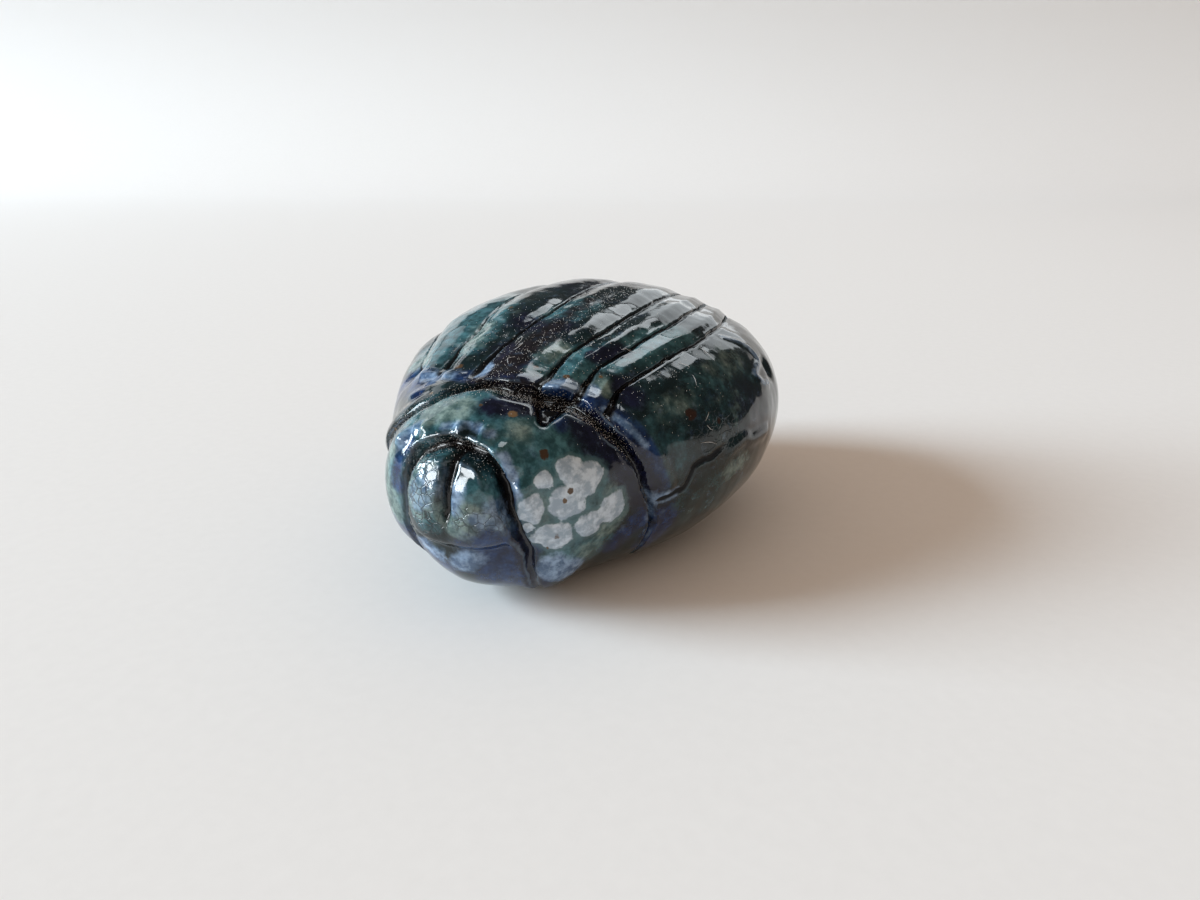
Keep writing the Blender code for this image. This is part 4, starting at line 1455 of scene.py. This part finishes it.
FIBRES: tuple[Fibre, ...] = (
    Fibre(((0.674, -0.033, 0.838), (0.728, -0.045, 0.818), (0.778, -0.055, 0.793)), 0.00005),
    Fibre(((0.654, -0.194, 0.818), (0.690, -0.186, 0.808), (0.711, -0.184, 0.798)), 0.00004),
    Fibre(((0.734, -0.205, 0.775), (0.750, -0.213, 0.760), (0.763, -0.224, 0.743)), 0.00004),
    Fibre((
        (-0.055, -0.390, 0.89), (-0.029, -0.375, 0.90), (-0.010, -0.400, 0.89), (-0.029, -0.420, 0.88),
    ), 0.00025),
    Fibre((
        (-0.015, -0.420, 0.88), (0.010, -0.415, 0.88), (0.008, -0.445, 0.87), (-0.014, -0.450, 0.87),
    ), 0.00020),
    Fibre(((0.030, -0.500, 0.86), (0.010, -0.520, 0.85), (0.030, -0.540, 0.84)), 0.00012),
    Fibre(((0.421, -0.280, 0.872), (0.440, -0.262, 0.864), (0.453, -0.257, 0.855)), 0.00004),
    Fibre(((0.831, -0.237, 0.650), (0.826, -0.250, 0.640), (0.829, -0.264, 0.627)), 0.00008),
    Fibre(((0.837, -0.266, 0.611), (0.850, -0.262, 0.598), (0.859, -0.249, 0.588)), 0.00008),
    Fibre(((0.828, -0.306, 0.554), (0.850, -0.270, 0.548), (0.878, -0.239, 0.532)), 0.00006),
)


@dataclass
class LintFibres:
    """Short pale fibres that lie on the glaze."""

    form: BodyForm
    radius: float = 0.000022
    clearance: float = 0.00004
    sides: int = 6
    samples: int = 6

    def build(self, body: bpy.types.Object, material: bpy.types.Material) -> bpy.types.Object:
        """Lay the fibres on the finished body.

        Args:
            body: The finished body, whose surface they lie on.
            material: The fibres' finish.

        Returns:
            The finished piece.
        """
        vertices: list[tuple[float, float, float]] = []
        edges: list[tuple[int, int]] = []
        for fibre in FIBRES:
            line = self.form.line(fibre.path, self.samples)
            start = len(vertices)
            for number, point in enumerate(line):
                _, place, normal, _ = body.closest_point_on_mesh(Vector(point))
                arch = math.sin(math.pi * number / (len(line) - 1))
                vertices.append(tuple(place + normal * (self.clearance + fibre.rise * arch)))
            edges += chain(start, len(line))
        mesh = bpy.data.meshes.new("lint guides")
        mesh.from_pydata(vertices, edges, [])
        piece = placed("lint_fibres", mesh)
        piece.data = FibreTree(material).apply(piece, {"Fibre radius": self.radius, "Sides": self.sides})
        piece.data.shade_smooth()
        return piece


@dataclass
class PhotoView:
    """The photograph's viewing angle, as a pinhole camera over the paper."""

    frame_width: int = 1200
    frame_height: int = 900
    focal_pixels: float = 870.0
    horizon_row: float = 120.0
    azimuth: float = math.radians(24.5)
    height: float = 0.0349
    origin_column: float = 576.3
    origin_row: float = 513.7
    sensor: float = 36.0
    nearest: float = 0.001

    def build(self) -> bpy.types.Object:
        """Make the scene's camera."""
        tilt = math.atan((self.frame_height / 2 - self.horizon_row) / self.focal_pixels)
        back = Vector((
            math.sin(self.azimuth) * math.cos(tilt), -math.cos(self.azimuth) * math.cos(tilt), math.sin(tilt)
        ))
        right = Vector((math.cos(self.azimuth), math.sin(self.azimuth), 0.0))
        up = back.cross(right)
        to_origin = right * ((self.origin_column - self.frame_width / 2) / self.focal_pixels)
        to_origin -= up * ((self.origin_row - self.frame_height / 2) / self.focal_pixels) + back
        place = to_origin * (self.height / to_origin.z)
        lens = bpy.data.cameras.new("photo view")
        lens.sensor_width = self.sensor
        lens.lens = self.sensor * self.focal_pixels / self.frame_width
        lens.clip_start = self.nearest
        camera = placed("photo view", lens)
        turn = Matrix((right, up, back)).transposed().to_4x4()
        camera.matrix_world = Matrix.Translation(place) @ turn
        bpy.context.scene.camera = camera
        return camera


MIRRORED_SKY: tuple[float, float, float] = (0.9, 0.96, 1.0)


@dataclass(frozen=True)
class Window:
    """One bright panel: where it hangs, its size and brightness, and whether only the glaze shows it."""

    name: str
    towards: Place
    distance: float
    size: tuple[float, float]
    brightness: float
    colour: tuple[float, float, float] = (0.76, 0.91, 1.0)
    reflected_only: bool = False

    def build(self) -> None:
        """Hang the panel so that it faces the object."""
        light = bpy.data.lights.new(self.name, "AREA")
        light.shape = "RECTANGLE"
        light.size, light.size_y = self.size
        light.energy = self.brightness * math.pi * self.size[0] * self.size[1]
        light.color = self.colour
        lamp = placed(self.name, light)
        direction = Vector(self.towards).normalized()
        lamp.location = direction * self.distance
        lamp.rotation_euler = direction.to_track_quat("Z", "Y").to_euler()
        lamp.visible_camera = False
        lamp.visible_diffuse = not self.reflected_only


@dataclass
class Studio:
    """Pale paper under a cool window at the left, in a warm room that the glaze mirrors only dimly."""

    paper_reach: float = 0.45
    sweep_height: float = 0.13
    sweep_bend: float = 0.10
    sweep_left: float = 1.3
    sweep_right: float = 0.52
    sweep_steps: int = 12
    away: Place = (-0.41, 0.91, 0.0)
    paper_low: Colour = (0.80, 0.795, 0.80, 1.0)
    paper_high: Colour = (0.84, 0.835, 0.84, 1.0)
    paper_up: Colour = (0.80, 0.80, 0.805, 1.0)
    paper_up_from: Band = (0.0, 0.10)
    paper_grain: float = 900.0
    paper_rough: float = 0.9
    room: Colour = (0.460, 0.350, 0.265, 1.0)
    sky: Colour = (0.88, 0.87, 0.875, 1.0)
    room_in_glaze: Colour = (0.078, 0.080, 0.082, 1.0)
    windows: tuple[Window, ...] = (
        Window("side window", (-0.82, -0.41, 0.37), 2.40, (0.99, 1.11), 29.0),
        Window("rear side window", (-0.75, 0.42, 0.44), 0.80, (0.30, 0.30), 1.0, MIRRORED_SKY, True),
        Window("front window", (-0.40, -0.87, 0.30), 0.60, (0.24, 0.24), 18.0, MIRRORED_SKY, True),
        Window("back window", (-0.032, 0.909, 0.415), 0.43, (0.225, 0.19), 1.5, MIRRORED_SKY, True),
        Window("upper window", (-0.058, 0.647, 0.760), 0.43, (0.21, 0.15), 3.6, MIRRORED_SKY, True),
    )

    def build(self) -> None:
        """Make the paper, the windows and the room."""
        self.paper()
        for window in self.windows:
            window.build()
        world = bpy.data.worlds.new("room")
        bpy.context.scene.world = world
        world.use_nodes = True
        world.node_tree.nodes.clear()
        tree = Tree(world.node_tree)
        seen = tree.add("ShaderNodeLightPath", out="Is Camera Ray")
        glossy = tree.add("ShaderNodeLightPath", out="Is Glossy Ray")
        colour = tree.mix(seen, tree.mix(glossy, self.room, self.room_in_glaze), self.sky)
        light = tree.add("ShaderNodeBackground", {"Color": colour})
        tree.add("ShaderNodeOutputWorld", {"Surface": light})

    def paper(self) -> None:
        """Lay the floor and curve it up behind the object as one sweep."""
        away = Vector(self.away).normalized()
        side = Vector((away.y, -away.x, 0.0))
        bend = self.sweep_bend
        profile = [(-1.0, 0.0), (self.paper_reach - bend, 0.0)]
        for step in range(1, self.sweep_steps + 1):
            angle = math.pi / 2 * step / self.sweep_steps
            profile.append((self.paper_reach - bend + bend * math.sin(angle), bend * (1 - math.cos(angle))))
        profile.append((self.paper_reach, self.sweep_height))
        vertices, faces = [], []
        for reach, height in profile:
            for edge in (-self.sweep_left, self.sweep_right):
                vertices.append(tuple(away * reach + side * edge + Vector((0.0, 0.0, height))))
        for number in range(len(profile) - 1):
            faces.append((2 * number, 2 * number + 1, 2 * number + 3, 2 * number + 2))
        mesh = bpy.data.meshes.new("paper")
        mesh.from_pydata(vertices, [], faces)
        paper = placed("paper", mesh)
        tree = ShaderTree("paper")
        height = tree.add("ShaderNodeSeparateXYZ", {"Vector": tree.spot}, out="Z")
        grain = tree.mix(tree.noise(self.paper_grain, 3.0), self.paper_low, self.paper_high)
        tone = tree.mix(tree.step(height, *self.paper_up_from), grain, self.paper_up)
        tree.finish(tone, self.paper_rough, None)
        mesh.materials.append(tree.material)
        mesh.shade_smooth()


DUST = PlainFinish("dust", (0.50, 0.48, 0.46, 1.0), (0.80, 0.79, 0.78, 1.0), roughness=0.9, grain=2500.0)
LINT = PlainFinish("lint", (0.45, 0.45, 0.46, 1.0), (0.75, 0.75, 0.76, 1.0), roughness=0.7, grain=2500.0)


def main() -> None:
    """Build the scene in order and report each piece."""
    logging.basicConfig(level=logging.INFO, format="%(name)s: %(message)s")
    bpy.context.scene.view_settings.view_transform = "Standard"
    PhotoView().build()
    Studio().build()
    form = BodyForm.from_frame()
    body = ScarabBody(form, ClayLines(form)).build(GlazeFinish().build())
    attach(body, BODY)
    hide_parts(NODE)
    log.info("%s: %d vertices", body.name, len(body.data.vertices))
    dust = DustFall(body).build(DUST.build())
    lint = LintFibres(form).build(body, LINT.build())
    for piece in (dust, lint):
        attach(piece, BODY)
        log.info("%s: %d vertices", piece.name, len(piece.data.vertices))


if __name__ == "__main__":
    main()
